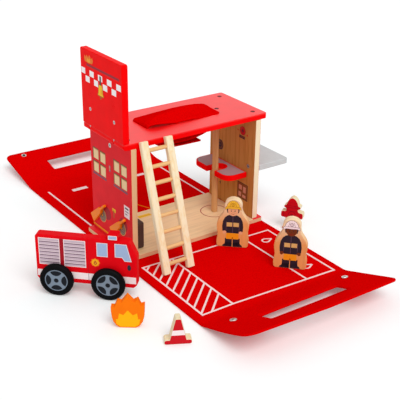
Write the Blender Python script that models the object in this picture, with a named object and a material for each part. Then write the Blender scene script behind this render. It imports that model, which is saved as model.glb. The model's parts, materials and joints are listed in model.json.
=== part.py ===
"""Toy fire station that packs away as a carry case, shown open with its play set around it.

Metres, +Z up. The origin is on the floor under the middle of the station. +X runs along the roof to the
right, +Y runs to the back. Pieces that move are parented to an empty on their joint's axis.
"""

import math

import bmesh
import bpy
from mathutils import Matrix, Vector

# Clearances and small roundings that every piece shares
SEAT_GAP = 0.0003
CUT_OVERRUN = 0.002
SANDED_EDGE = 0.0009

# Case boards
ROOF_LENGTH = 0.253
ROOF_THICKNESS = 0.0088
ROOF_CORNER = 0.004
CASE_DEPTH = 0.118
WALL_HEIGHT = 0.166
WALL_THICKNESS = 0.0095
ROOF_OVERHANG = 0.0109
BASE_END_MARGIN = 0.0089
BASE_SIDE_MARGIN = 0.0025
BASE_THICKNESS = 0.007
BASE_CORNER = 0.003

# Felt mats
FELT = 0.003
FELT_MARGIN = 0.0005
FELT_LEFT_MARGIN = 0.0059
FELT_RIGHT_MARGIN = 0.0009
FLAP_OVER_ROOF = 0.0076
FRONT_FLAP_PAST_MIDDLE = 0.041
BACK_FLAP_PAST_SNAP = 0.0115
FRONT_FLAP_RAISE = math.radians(19.0)
BACK_FLAP_RAISE = math.radians(12.5)
FLAP_CORNER = 0.014
FLAP_SLOT_WIDTH = 0.0275
FLAP_SLOT_END_ROOM = 0.002
FRONT_SLOT_SETBACK = 0.0035
BACK_SLOT_SETBACK = 0.0045

# Press studs on the flaps
SNAP_SHARE = 0.3873
FRONT_SNAP_ALONG = 0.028
SNAP_CAP_RADIUS = 0.005
SNAP_CAP_HEIGHT = 0.0014
SNAP_POST_RADIUS = 0.0016
SNAP_FLANGE_RADIUS = 0.0046
SNAP_FLANGE = 0.0004
SNAP_MATE = 0.001
SNAP_STUD_RADIUS = 0.0018
SNAP_SOCKET_RADIUS = 0.0024
SNAP_CLEAR = 0.0002

# Carry strap
STRAP_THICKNESS = 0.003
STRAP_WIDTH = 0.041
STRAP_SLOT_SHARE = 0.249
STRAP_ARCH_RISE = 0.0145
STRAP_BACK_DROP = 0.007
STRAP_FRONT_DROP = 0.010
STRAP_FORWARD_DRIFT = 0.0025
STRAP_UPPER_TAIL_DROP = 0.023
STRAP_LOWER_TAIL_DROP = 0.0285
STRAP_RIDGE_SHARE = 0.2

# Fire pole and upper floor
POLE_RADIUS = 0.005
POLE_SHARE = 0.2866
POLE_Y = -0.002
SHELF_TOP = 0.085
SHELF_THICKNESS = 0.0088
SHELF_REACH = 0.0393
SHELF_FRONT_INSET = 0.018
SHELF_BACK_INSET = 0.006
SHELF_CORNER = 0.016
SHELF_NOTCH_RADIUS = 0.011
SHELF_NOTCH_REACH = 0.0115
SHELF_NOTCH_SETBACK = 0.0045

# Helipad
HELIPAD_TOP = 0.1005
HELIPAD_THICKNESS = 0.0089
HELIPAD_REACH = 0.0584
HELIPAD_BACK_INSET = 0.005
HELIPAD_CORNER = 0.004

# Wood screws
SCREW_HEAD_RADIUS = 0.0034
SCREW_HEAD_DEPTH = 0.0018
SCREW_SHANK_RADIUS = 0.0014
BOARD_SCREW_LENGTH = 0.021
ROOF_SCREW_INSET = 0.016
HELIPAD_SCREW_INSET = 0.016
WALL_SCREW_DROP = 0.0119
WALL_SCREW_LENGTH = 0.0075

# Tower and its hinge
TOWER_HEIGHT = 0.1125
TOWER_THICKNESS = 0.0098
TOWER_SIDE_INSET = 0.001
TOWER_CORNER = 0.003
LEAF_SCREW_INSET = 0.024
LEAF_SCREW_RISE = 0.026
LEAF_PLUG_RISE = 0.048
LEAF_LENGTH = 0.054
LEAF_THICKNESS = 0.0012
LEAF_WIDTH = 0.009
EYE_THICKNESS = 0.002
EYE_OFFSET_Y = 0.004
EYE_RADIUS = 0.0034
EYE_ROOT_HEIGHT = 0.006
SIDES = ("front", "back")
HINGE_PIN_RADIUS = 0.0012
HINGE_PIN_GRIP = 0.0037
LEAF_SCREW_HEAD_RADIUS = 0.0027
LEAF_SCREW_HEAD_DEPTH = 0.0016
PLUG_RADIUS = 0.003
PLUG_DEPTH = 0.003

# Hose nozzles on the left wall
NOZZLE_LENGTH = 0.050
NOZZLE_THICKNESS = 0.005
NOZZLE_HALF_WIDTH = 0.0072
NOZZLE_WAIST_HALF_WIDTH = 0.0048
NOZZLE_TIP_HALF_WIDTH = 0.0019
NOZZLE_WAIST_SHARE = 0.62
NOZZLE_SHOULDER_SHARE = 0.70
NOZZLE_TILT = math.radians(42.0)
NOZZLE_ROUND = 0.0012
NOZZLE_INSET = 0.0055
NOZZLE_SPACING = 0.058
NOZZLE_RISE = 0.0184

# Dark block on the base, against the left wall
BLOCK_WIDTH = 0.019
BLOCK_DEPTH = 0.020
BLOCK_HEIGHT = 0.0415
BLOCK_FRONT_INSET = 0.013
BLOCK_CORNER = 0.004
BLOCK_EDGE = 0.0022

# Ladder
LADDER_LENGTH = 0.192
LADDER_LEAN = math.radians(18.0)
LADDER_FROM_ROOF_END = 0.0490
LADDER_WIDTH = 0.052
RAIL_WIDTH = 0.0115
RAIL_DEPTH = 0.0085
RAIL_ROUND = 0.0018
RUNG_RADIUS = 0.003
RUNG_COUNT = 8
RUNG_END_MARGIN = 0.0137
RUNG_SEAT = 0.006

# Fire engine
TRUCK_FROM_MAT = 0.1082
TRUCK_Y = -0.0694
TRUCK_HEADING = math.radians(-44.2)
WHEELBASE = 0.0718
REAR_OVERHANG = 0.0295
FRONT_OVERHANG = 0.0385
TRUCK_WIDTH = 0.0154
TRUCK_UNDERSIDE = 0.0178
TRUCK_ROOF = 0.0875
WINDSCREEN_FOOT = 0.0655
WINDSCREEN_SETBACK = 0.0100
TRUCK_LOW_CUT = 0.0045
TRUCK_REAR_CUT = 0.0025
TRUCK_EDGE = 0.0014
WHEEL_RADIUS = 0.0235
WHEEL_THICKNESS = 0.008
WHEEL_SHOULDER = 0.0016
WHEEL_SIDE_GAP = 0.0008
HUB_RADIUS = 0.0163
HUB_RECESS = 0.0008
AXLE_RADIUS = 0.0025
AXLE_SEAT = 0.006
LIGHT_BAR_SETBACK = 0.0395
LIGHT_BAR_LENGTH = 0.0147
LIGHT_BAR_HEIGHT = 0.0085
LIGHT_BAR_EDGE = 0.0012

# Standing figures: half widths as shares of the width, at heights as shares of the height
FIGURE_THICKNESS = 0.0125
FIGURE_WIDTH = 0.048
FIGURE_HEIGHT = 0.0795
FIGURE_EDGE = 0.0010
FIGURE_SHARES = ((0.43, 0.0), (0.48, 0.02), (0.50, 0.07), (0.50, 0.14), (0.48, 0.22), (0.468, 0.28),
                 (0.485, 0.35), (0.50, 0.42), (0.492, 0.49), (0.455, 0.56), (0.39, 0.625), (0.325, 0.68),
                 (0.285, 0.735), (0.27, 0.79), (0.272, 0.85), (0.25, 0.91), (0.19, 0.96), (0.10, 0.99),
                 (0.0, 1.0))
YELLOW_HELMET_X = 0.0302
YELLOW_HELMET_FROM_FOLD = 0.0443
YELLOW_HELMET_TURN = math.radians(-42.0)
WHITE_HELMET_X = 0.060
WHITE_HELMET_FROM_FOLD = 0.1425
WHITE_HELMET_TURN = math.radians(-46.0)

# Hydrant
HYDRANT_THICKNESS = 0.0125
HYDRANT_WIDTH = 0.035
HYDRANT_HEIGHT = 0.0555
HYDRANT_FROM_MAT = 0.0206
HYDRANT_FROM_FOLD = 0.0457
HYDRANT_TURN = math.radians(-54.7)
HYDRANT_SHARES = ((0.37, 0.0), (0.41, 0.02), (0.41, 0.08), (0.33, 0.11), (0.27, 0.15), (0.265, 0.33),
                  (0.32, 0.37), (0.45, 0.38), (0.50, 0.41), (0.50, 0.52), (0.46, 0.56), (0.34, 0.57),
                  (0.27, 0.60), (0.265, 0.655), (0.33, 0.68), (0.375, 0.70), (0.37, 0.745), (0.29, 0.765),
                  (0.26, 0.80), (0.22, 0.88), (0.14, 0.95), (0.075, 0.985), (0.0, 1.0))

# Flame
FLAME_THICKNESS = 0.010
FLAME_WIDTH = 0.0435
FLAME_HEIGHT = 0.047
FLAME_PLACE = (-0.2097, -0.2024)
FLAME_TURN = math.radians(-36.0)
FLAME_EDGE = 0.0006
FLAME_SHARES = ((-0.24, 0.0), (0.24, 0.0), (0.36, 0.07), (0.44, 0.19), (0.485, 0.34), (0.495, 0.50),
                (0.50, 0.727), (0.395, 0.69), (0.305, 0.884), (0.17, 0.81), (-0.01, 1.0), (-0.19, 0.782),
                (-0.305, 0.82), (-0.40, 0.634), (-0.50, 0.643), (-0.49, 0.46), (-0.47, 0.31),
                (-0.43, 0.18), (-0.35, 0.07))

# Traffic cone
CONE_THICKNESS = 0.015
CONE_SLAB_WIDTH = 0.035
CONE_SLAB_HEIGHT = 0.006
CONE_SLAB_ROUND = 0.0025
CONE_FOOT_HALF_WIDTH = 0.0106
CONE_TOP_HALF_WIDTH = 0.0036
CONE_TOP_ROUND = 0.0015
CONE_HEIGHT = 0.0365
CONE_PLACE = (-0.1766, -0.2695)
CONE_TURN = math.radians(-27.9)

# Places worked out from the sizes
WALL_OUTER_X = ROOF_LENGTH / 2 - ROOF_OVERHANG
WALL_INNER_X = WALL_OUTER_X - WALL_THICKNESS
WALL_MID_X = WALL_OUTER_X - WALL_THICKNESS / 2
BASE_LENGTH = 2 * (WALL_OUTER_X + BASE_END_MARGIN)
BASE_DEPTH = CASE_DEPTH + 2 * BASE_SIDE_MARGIN
BASE_BOTTOM = FELT + SEAT_GAP
BASE_TOP = BASE_BOTTOM + BASE_THICKNESS
WALL_BOTTOM = BASE_TOP + SEAT_GAP
WALL_TOP = WALL_BOTTOM + WALL_HEIGHT
ROOF_BOTTOM = WALL_TOP + SEAT_GAP
ROOF_TOP = ROOF_BOTTOM + ROOF_THICKNESS
FOLD_LINE_Y = BASE_DEPTH / 2 + FELT_MARGIN + SEAT_GAP
SNAP_STACK = 2 * (SNAP_CLEAR + SNAP_FLANGE) + SNAP_MATE + SEAT_GAP
FRONT_MAT_LENGTH = ROOF_TOP + FLAP_OVER_ROOF - FELT
BACK_MAT_LENGTH = FRONT_MAT_LENGTH + FELT + SNAP_STACK
BACK_SNAP_ALONG = 2 * FOLD_LINE_Y - FRONT_SNAP_ALONG
FRONT_FLAP_LENGTH = FOLD_LINE_Y + FRONT_FLAP_PAST_MIDDLE
BACK_FLAP_LENGTH = BACK_SNAP_ALONG + BACK_FLAP_PAST_SNAP
MAT_LEFT = -BASE_LENGTH / 2 - FELT_LEFT_MARGIN
MAT_RIGHT = BASE_LENGTH / 2 + FELT_RIGHT_MARGIN
SNAP_X = ROOF_LENGTH * SNAP_SHARE
STRAP_SLOT_X = ROOF_LENGTH * STRAP_SLOT_SHARE
POLE_X = ROOF_LENGTH * POLE_SHARE
HELIPAD_BACK_Y = CASE_DEPTH / 2 - HELIPAD_BACK_INSET
TOWER_DEPTH = CASE_DEPTH - 2 * TOWER_SIDE_INSET
LEAF_SCREW_Y = TOWER_DEPTH / 2 - LEAF_SCREW_INSET
TOWER_AXIS_X = ROOF_THICKNESS / 2 - ROOF_LENGTH / 2
TOWER_AXIS_Z = ROOF_BOTTOM + ROOF_THICKNESS / 2
TOWER_FOOT = ROOF_THICKNESS / 2 + SEAT_GAP
MAT_TOP = FELT + SEAT_GAP


# Colours
RED_PAINT = (0.60, 0.010, 0.012)
WALL_RED = (0.50, 0.018, 0.030)
FELT_RED = (0.52, 0.003, 0.003)
PINE = (0.86, 0.62, 0.38)
PLYWOOD = (0.76, 0.52, 0.30)
GREY_PAINT = (0.56, 0.57, 0.57)
DARK_GREY = (0.06, 0.05, 0.05)
STEEL = (0.62, 0.62, 0.63)
ORANGE = (0.85, 0.35, 0.02)
FLAME_ORANGE = (0.90, 0.20, 0.01)
TYRE_BLACK = (0.012, 0.012, 0.016)


# Building blocks

def material(name, colour, roughness, metallic=0.0):
    """Principled material, made once for each name."""
    found = bpy.data.materials.get(name)
    if found:
        return found
    made = bpy.data.materials.new(name)
    made.use_nodes = True
    shader = made.node_tree.nodes["Principled BSDF"]
    shader.inputs["Base Color"].default_value = (*colour, 1.0)
    shader.inputs["Roughness"].default_value = roughness
    shader.inputs["Metallic"].default_value = metallic
    return made


def pivot(name, location, rotation=(0.0, 0.0, 0.0), parent=None):
    """Empty that carries the pieces of one moving body."""
    empty = bpy.data.objects.new(name, None)
    bpy.context.scene.collection.objects.link(empty)
    empty.empty_display_size = FELT
    empty.location = location
    empty.rotation_euler = rotation
    empty.parent = parent
    return empty


def arc(centre, radius, start, end, steps):
    """Points on a circle from one angle to another, in degrees."""
    angles = [math.radians(start + (end - start) * i / steps) for i in range(steps + 1)]
    return [(centre[0] + radius * math.cos(a), centre[1] + radius * math.sin(a)) for a in angles]


def rounded_rectangle(low, high, radii, steps=4):
    """Outline with its own radius at each corner: low-left, low-right, high-right, high-left."""
    corners = ((low[0], low[1], 1, 1), (high[0], low[1], -1, 1), (high[0], high[1], -1, -1),
               (low[0], high[1], 1, -1))
    outline = []
    for i, (x, y, inward_x, inward_y) in enumerate(corners):
        if radii[i] == 0:
            outline.append((x, y))
        else:
            centre = (x + inward_x * radii[i], y + inward_y * radii[i])
            outline += arc(centre, radii[i], 180 + 90 * i, 270 + 90 * i, steps)
    return outline


def smooth_through(points, steps):
    """Catmull-Rom curve through an open row of points."""
    row = [points[0]] + list(points) + [points[-1]]
    curve = []
    for before, start, end, after in zip(row, row[1:], row[2:], row[3:]):
        for i in range(steps):
            t = i / steps
            curve.append(tuple(0.5 * (2 * b + (c - a) * t + (2 * a - 5 * b + 4 * c - d) * t ** 2
                                      + (3 * b - a - 3 * c + d) * t ** 3)
                               for a, b, c, d in zip(before, start, end, after)))
    curve.append(tuple(points[-1]))
    return curve


PLANES = {"XY": lambda u, v, w: (u, v, w), "XZ": lambda u, v, w: (u, w, v), "YZ": lambda u, v, w: (w, u, v)}


def prism(outline, low, high, plane="XY"):
    """Solid between two copies of an outline, drawn in the named plane."""
    place = PLANES[plane]
    shape = bmesh.new()
    ends = [[shape.verts.new(place(u, v, w)) for u, v in outline] for w in (low, high)]
    shape.faces.new(ends[0])
    shape.faces.new(ends[1])
    count = len(outline)
    for i in range(count):
        j = (i + 1) % count
        shape.faces.new((ends[0][i], ends[0][j], ends[1][j], ends[1][i]))
    bmesh.ops.recalc_face_normals(shape, faces=shape.faces)
    return shape


def box(low, high):
    """Plain block between two corners."""
    outline = ((low[0], low[1]), (high[0], low[1]), (high[0], high[1]), (low[0], high[1]))
    return prism(outline, low[2], high[2])


def turned(profile, steps, ring=False):
    """Solid turned about Z from (radius, height) points; a ring profile closes on itself."""
    shape = bmesh.new()
    rows = []
    for radius, height in profile:
        count = steps if radius > 0 else 1
        rows.append([shape.verts.new((radius * math.cos(2 * math.pi * i / steps),
                                      radius * math.sin(2 * math.pi * i / steps), height))
                     for i in range(count)])
    pairs = list(zip(rows, rows[1:]))
    if ring:
        pairs.append((rows[-1], rows[0]))
    for lower, upper in pairs:
        for i in range(steps):
            j = (i + 1) % steps
            corners = [lower[i % len(lower)], lower[j % len(lower)], upper[j % len(upper)],
                       upper[i % len(upper)]]
            shape.faces.new(list(dict.fromkeys(corners)))
    bmesh.ops.recalc_face_normals(shape, faces=shape.faces)
    return shape


def rod(radius, low, high, steps):
    """Plain round bar along Z."""
    return turned(((0, low), (radius, low), (radius, high), (0, high)), steps)


def placed(shape, location, direction=(0, 0, 1)):
    """Turns a shape's +Z to a direction and moves it."""
    turn = Vector((0, 0, 1)).rotation_difference(Vector(direction)).to_matrix().to_4x4()
    bmesh.ops.transform(shape, matrix=Matrix.Translation(location) @ turn, verts=shape.verts)
    return shape


def gathered(shapes):
    """Several separate shapes in one mesh."""
    whole = bmesh.new()
    for shape in shapes:
        copy = bpy.data.meshes.new("gathered")
        shape.to_mesh(copy)
        shape.free()
        whole.from_mesh(copy)
        bpy.data.meshes.remove(copy)
    return whole


def piece(name, shape, finish, parent=None, smooth_angle=32.0):
    """Object from a bmesh, shaded smooth across shallow edges."""
    mesh = bpy.data.meshes.new(name)
    shape.to_mesh(mesh)
    shape.free()
    mesh.materials.append(finish)
    mesh.shade_smooth()
    mesh.set_sharp_from_angle(angle=math.radians(smooth_angle))
    made = bpy.data.objects.new(name, mesh)
    bpy.context.scene.collection.objects.link(made)
    made.parent = parent
    return made


def repeated(names, shape, finish, places, direction=(0, 0, 1), parent=None):
    """Like pieces that share one mesh, whose +Z is turned to the direction at each place."""
    turn = Vector((0, 0, 1)).rotation_difference(Vector(direction)).to_euler()
    made = [piece(names[0], shape, finish, parent)]
    for name in names[1:]:
        copy = bpy.data.objects.new(name, made[0].data)
        bpy.context.scene.collection.objects.link(copy)
        copy.parent = parent
        made.append(copy)
    for each, place in zip(made, places):
        each.location = place
        each.rotation_euler = turn
    return made


def soften(target, width, segments=2):
    """Rounds the sharp edges that a modelled body has so far."""
    bevel = target.modifiers.new("sanded edges", "BEVEL")
    bevel.width = width
    bevel.segments = segments
    bevel.limit_method = "ANGLE"
    bevel.angle_limit = math.radians(40.0)
    return target


def cutter(name, shape, parent=None):
    """Hidden body for Booleans."""
    made = piece(name, shape, material("cutter", PINE, 0.5), parent)
    made.hide_render = True
    made.display_type = "WIRE"
    return made


def combine(target, other, operation="DIFFERENCE"):
    """Boolean with the exact solver."""
    step = target.modifiers.new(other.name, "BOOLEAN")
    step.operation = operation
    step.solver = "EXACT"
    step.object = other


def screw(head_radius, head_depth, shank_radius, length):
    """Flush screw with its head's face at height zero."""
    return turned(((0, -length), (shank_radius, -length), (shank_radius, -head_depth),
                   (head_radius, -head_depth), (head_radius, 0), (0, 0)), 14)


def screw_hole(head_radius, head_depth, shank_radius, length, location, direction):
    """Clearance round a flush screw."""
    return placed(turned(((0, -length - SEAT_GAP), (shank_radius + SEAT_GAP, -length - SEAT_GAP),
                          (shank_radius + SEAT_GAP, -head_depth - SEAT_GAP),
                          (head_radius + SEAT_GAP, -head_depth - SEAT_GAP),
                          (head_radius + SEAT_GAP, CUT_OVERRUN), (0, CUT_OVERRUN)), 14), location, direction)


def board_screws(names, finish, places, direction, targets, length=BOARD_SCREW_LENGTH):
    """Wood screws at some places, with their holes in the boards that they pass."""
    size = (SCREW_HEAD_RADIUS, SCREW_HEAD_DEPTH, SCREW_SHANK_RADIUS, length)
    repeated(names, screw(*size), finish, places, direction)
    holes = cutter(names[0] + "_holes", gathered([screw_hole(*size, place, direction) for place in places]))
    for target in targets:
        combine(target, holes)


# Case

def make_base():
    """Plywood floor of the station."""
    half = (BASE_LENGTH / 2, BASE_DEPTH / 2)
    outline = rounded_rectangle((-half[0], -half[1]), half, [BASE_CORNER] * 4)
    base = piece("base_plate", prism(outline, BASE_BOTTOM, BASE_TOP), material("plywood", PLYWOOD, 0.5))
    return soften(base, SANDED_EDGE / 2)


def make_wall(name, side):
    """Upright board; side is -1 on the left and 1 on the right."""
    low_x, high_x = sorted((side * WALL_INNER_X, side * WALL_OUTER_X))
    shape = box((low_x, -CASE_DEPTH / 2, WALL_BOTTOM), (high_x, CASE_DEPTH / 2, WALL_TOP))
    finish = material("wall red", WALL_RED, 0.42) if side < 0 else material("pine", PINE, 0.5)
    return soften(piece(name, shape, finish), SANDED_EDGE)


def make_roof():
    """Roof board whose left edge is a full round about the tower's axis."""
    half = (ROOF_LENGTH / 2, CASE_DEPTH / 2)
    outline = rounded_rectangle((-half[0], -half[1]), half, [ROOF_CORNER] * 4, 5)
    roof = piece("roof_plate", prism(outline, ROOF_BOTTOM, ROOF_TOP), material("red paint", RED_PAINT, 0.3))
    soften(roof, SANDED_EDGE, 3)
    edge = arc((TOWER_AXIS_X, TOWER_AXIS_Z), ROOF_THICKNESS / 2, 90, 270, 14)
    right = ROOF_LENGTH / 2 + CUT_OVERRUN
    section = edge + [(right, ROOF_BOTTOM), (right, ROOF_TOP)]
    rounding = cutter("roof_rounding", prism(section, -half[1] - CUT_OVERRUN, half[1] + CUT_OVERRUN, "XZ"))
    combine(roof, rounding, "INTERSECT")
    combine(roof, cutter("strap_slots", gathered([strap_slot(side) for side in (-1, 1)])))
    return roof


def strap_slot(side):
    """Slot through the roof that the strap passes with a little room."""
    half_width = STRAP_THICKNESS / 2 + SEAT_GAP
    half_length = STRAP_WIDTH / 2 + SEAT_GAP
    middle = side * STRAP_SLOT_X
    outline = rounded_rectangle((middle - half_width, -half_length), (middle + half_width, half_length),
                                [SANDED_EDGE] * 4, 3)
    return prism(outline, ROOF_BOTTOM - CUT_OVERRUN, ROOF_TOP + CUT_OVERRUN)


def make_pole():
    """Round dowel from the base to the roof."""
    shape = placed(rod(POLE_RADIUS, WALL_BOTTOM, WALL_TOP, 24), (POLE_X, POLE_Y, 0))
    return piece("fire_pole", shape, material("pine", PINE, 0.5))


def make_shelf():
    """Upper floor with rounded free corners and a round-ended notch for the pole."""
    wall_side = WALL_INNER_X - SEAT_GAP
    outline = rounded_rectangle((wall_side - SHELF_REACH, SHELF_FRONT_INSET - CASE_DEPTH / 2),
                                (wall_side, CASE_DEPTH / 2 - SHELF_BACK_INSET),
                                (SHELF_CORNER, 0, 0, SHELF_CORNER), 6)
    shelf = piece("inner_shelf", prism(outline, SHELF_TOP - SHELF_THICKNESS, SHELF_TOP),
                  material("red paint", RED_PAINT, 0.3))
    soften(shelf, SANDED_EDGE)
    middle = POLE_Y + SHELF_NOTCH_SETBACK
    mouth = wall_side - SHELF_REACH - CUT_OVERRUN
    notch = arc((POLE_X + SHELF_NOTCH_REACH, middle), SHELF_NOTCH_RADIUS, -90, 90, 16)
    notch += [(mouth, middle + SHELF_NOTCH_RADIUS), (mouth, middle - SHELF_NOTCH_RADIUS)]
    combine(shelf, cutter("pole_notch", prism(notch, SHELF_TOP - SHELF_THICKNESS - CUT_OVERRUN,
                                              SHELF_TOP + CUT_OVERRUN)))
    return shelf


def make_helipad():
    """Grey landing board against the right wall's outer face."""
    wall_side = WALL_OUTER_X + SEAT_GAP
    outline = rounded_rectangle((wall_side, -CASE_DEPTH / 2), (wall_side + HELIPAD_REACH, HELIPAD_BACK_Y),
                                (0, HELIPAD_CORNER, HELIPAD_CORNER, 0))
    helipad = piece("helipad_board", prism(outline, HELIPAD_TOP - HELIPAD_THICKNESS, HELIPAD_TOP),
                    material("grey paint", GREY_PAINT, 0.4))
    return soften(helipad, SANDED_EDGE)


def make_block():
    """Dark block that stands on the base against the left wall."""
    left = -WALL_INNER_X + SEAT_GAP
    front = BLOCK_FRONT_INSET - CASE_DEPTH / 2
    outline = rounded_rectangle((left, front), (left + BLOCK_WIDTH, front + BLOCK_DEPTH), [BLOCK_CORNER] * 4)
    block = piece("locker_block", prism(outline, WALL_BOTTOM, WALL_BOTTOM + BLOCK_HEIGHT),
                  material("dark grey", DARK_GREY, 0.45))
    return soften(block, BLOCK_EDGE)


def nozzle():
    """Flat bottle-shaped nozzle that leans forwards and up, its foot at the origin."""
    waist = NOZZLE_LENGTH * NOZZLE_WAIST_SHARE
    shoulder = NOZZLE_LENGTH * NOZZLE_SHOULDER_SHARE
    side = arc((NOZZLE_ROUND, NOZZLE_HALF_WIDTH - NOZZLE_ROUND), NOZZLE_ROUND, 180, 90, 3)
    side += [(waist, NOZZLE_WAIST_HALF_WIDTH), (shoulder, NOZZLE_TIP_HALF_WIDTH),
             (NOZZLE_LENGTH, NOZZLE_TIP_HALF_WIDTH)]
    outline = side + [(along, -across) for along, across in reversed(side)]
    tilted = []
    for along, across in outline:
        tilted.append((across * math.sin(NOZZLE_TILT) - along * math.cos(NOZZLE_TILT),
                       across * math.cos(NOZZLE_TILT) + along * math.sin(NOZZLE_TILT)))
    return prism(tilted, -NOZZLE_THICKNESS, 0, "YZ")


def make_nozzles():
    """The two nozzles on the left wall's outer face."""
    back = CASE_DEPTH / 2 - NOZZLE_INSET
    places = [(-WALL_OUTER_X - SEAT_GAP, y, WALL_BOTTOM + NOZZLE_RISE) for y in (back, back - NOZZLE_SPACING)]
    for each in repeated(("hose_nozzle_back", "hose_nozzle_front"), nozzle(), material("orange", ORANGE, 0.4),
                         places):
        soften(each, SANDED_EDGE)


# Carry strap

def strap_path():
    """Middle line of the strap in X and Z, from its lower tail over the roof to its upper tail."""
    lower_shares = ((0.48, 1.02), (0.22, 1.01), (-0.05, 1.0), (-0.33, 0.965), (-0.60, 0.84), (-0.82, 0.58),
                    (-0.97, 0.28), (-1.0, 0.09), (-1.0, 0.0))
    arch_shares = ((-1.0, 0.0), (-1.0, 0.13), (-0.975, 0.36), (-0.87, 0.64), (-0.62, 0.87), (-0.30, 0.97),
                   (0.0, 1.0), (0.30, 0.97), (0.62, 0.87), (0.87, 0.64), (0.975, 0.36), (1.0, 0.13),
                   (1.0, 0.0))
    upper_shares = ((1.0, 0.0), (1.0, 0.10), (0.96, 0.28), (0.84, 0.52), (0.62, 0.75), (0.36, 0.92),
                    (0.05, 1.0), (-0.32, 0.98))
    lower = [(STRAP_SLOT_X * x, ROOF_BOTTOM - STRAP_LOWER_TAIL_DROP * z) for x, z in lower_shares]
    arch = [(STRAP_SLOT_X * x, ROOF_TOP + STRAP_ARCH_RISE * z) for x, z in arch_shares]
    upper = [(STRAP_SLOT_X * x, ROOF_BOTTOM - STRAP_UPPER_TAIL_DROP * z) for x, z in upper_shares]
    return smooth_through(lower + arch + upper, 2)


def strap_point(x, z, across):
    """Point on the strap's middle sheet; above the roof its edges fall away from a ridge."""
    rise = min(max((z - ROOF_TOP) / STRAP_ARCH_RISE, 0.0), 1.0)
    lift = rise * rise * (3 - 2 * rise)
    if across > STRAP_RIDGE_SHARE:
        fall = STRAP_BACK_DROP * ((across - STRAP_RIDGE_SHARE) / (1 - STRAP_RIDGE_SHARE)) ** 1.5
    else:
        fall = STRAP_FRONT_DROP * ((STRAP_RIDGE_SHARE - across) / (1 + STRAP_RIDGE_SHARE)) ** 1.5
    y = across * STRAP_WIDTH / 2 * (1 - 0.06 * lift) - STRAP_FORWARD_DRIFT * lift
    return Vector((x, y, z - fall * lift))


def make_strap():
    """Felt strap: an arch above the roof and two tails that overlap under it."""
    path = strap_path()
    rows = 8
    grid = [[strap_point(x, z, 2 * j / rows - 1) for j in range(rows + 1)] for x, z in path]
    shape = bmesh.new()
    skins = []
    for side in (0.5, -0.5):
        skin = []
        for i, row in enumerate(grid):
            before, after = grid[max(i - 1, 0)], grid[min(i + 1, len(grid) - 1)]
            line = []
            for j, point in enumerate(row):
                along = after[j] - before[j]
                sideways = row[min(j + 1, rows)] - row[max(j - 1, 0)]
                line.append(shape.verts.new(point + along.cross(sideways).normalized()
                                            * STRAP_THICKNESS * side))
            skin.append(line)
        skins.append(skin)
    top, bottom = skins
    last = len(grid) - 1
    for i in range(last):
        for j in range(rows):
            shape.faces.new((top[i][j], top[i + 1][j], top[i + 1][j + 1], top[i][j + 1]))
            shape.faces.new((bottom[i][j], bottom[i][j + 1], bottom[i + 1][j + 1], bottom[i + 1][j]))
        for j in (0, rows):
            shape.faces.new((top[i][j], bottom[i][j], bottom[i + 1][j], top[i + 1][j]))
    for i in (0, last):
        for j in range(rows):
            shape.faces.new((top[i][j], top[i][j + 1], bottom[i][j + 1], bottom[i][j]))
    bmesh.ops.recalc_face_normals(shape, faces=shape.faces)
    return piece("carry_handle", shape, material("felt", FELT_RED, 0.95))


# Felt mats

def make_felt_floor():
    """Felt under the station."""
    half = BASE_DEPTH / 2 + FELT_MARGIN
    shape = box((MAT_LEFT, -half, 0), (MAT_RIGHT, half, FELT))
    return piece("felt_floor", shape, material("felt", FELT_RED, 0.95))


def snap(mating, cap_side):
    """Press stud riveted through a flap, in the flap's frame, where the felt's top is at height zero."""
    cap_low = SNAP_CLEAR
    profile = [(0, SNAP_CLEAR + SNAP_CAP_HEIGHT), (SNAP_CAP_RADIUS - SNAP_FLANGE, cap_low + SNAP_CAP_HEIGHT),
               (SNAP_CAP_RADIUS, cap_low + SNAP_CAP_HEIGHT / 2), (SNAP_CAP_RADIUS, cap_low),
               (SNAP_POST_RADIUS, cap_low)]
    flange_top = -FELT - SNAP_CLEAR
    flange_low = flange_top - SNAP_FLANGE
    mate_low = flange_low - SNAP_MATE
    profile += [(SNAP_POST_RADIUS, flange_top), (SNAP_FLANGE_RADIUS, flange_top)]
    if mating == "socket":
        profile += [(SNAP_FLANGE_RADIUS, mate_low), (SNAP_SOCKET_RADIUS, mate_low),
                    (SNAP_SOCKET_RADIUS, flange_low), (0, flange_low)]
    else:
        profile += [(SNAP_FLANGE_RADIUS, flange_low), (SNAP_STUD_RADIUS, flange_low),
                    (SNAP_STUD_RADIUS, mate_low), (0, mate_low)]
    if cap_side < 0:
        profile = [(radius, -FELT - height) for radius, height in profile]
    return turned(profile, 16)


def make_mat(name, towards, length, parent):
    """Flat play mat between its fold line and its flap's bend; towards is the sign of Y."""
    low_y, high_y = sorted((0, towards * length))
    shape = box((MAT_LEFT, low_y, -FELT), (MAT_RIGHT, high_y, 0))
    return piece(name, shape, material("felt", FELT_RED, 0.95), parent)


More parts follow.
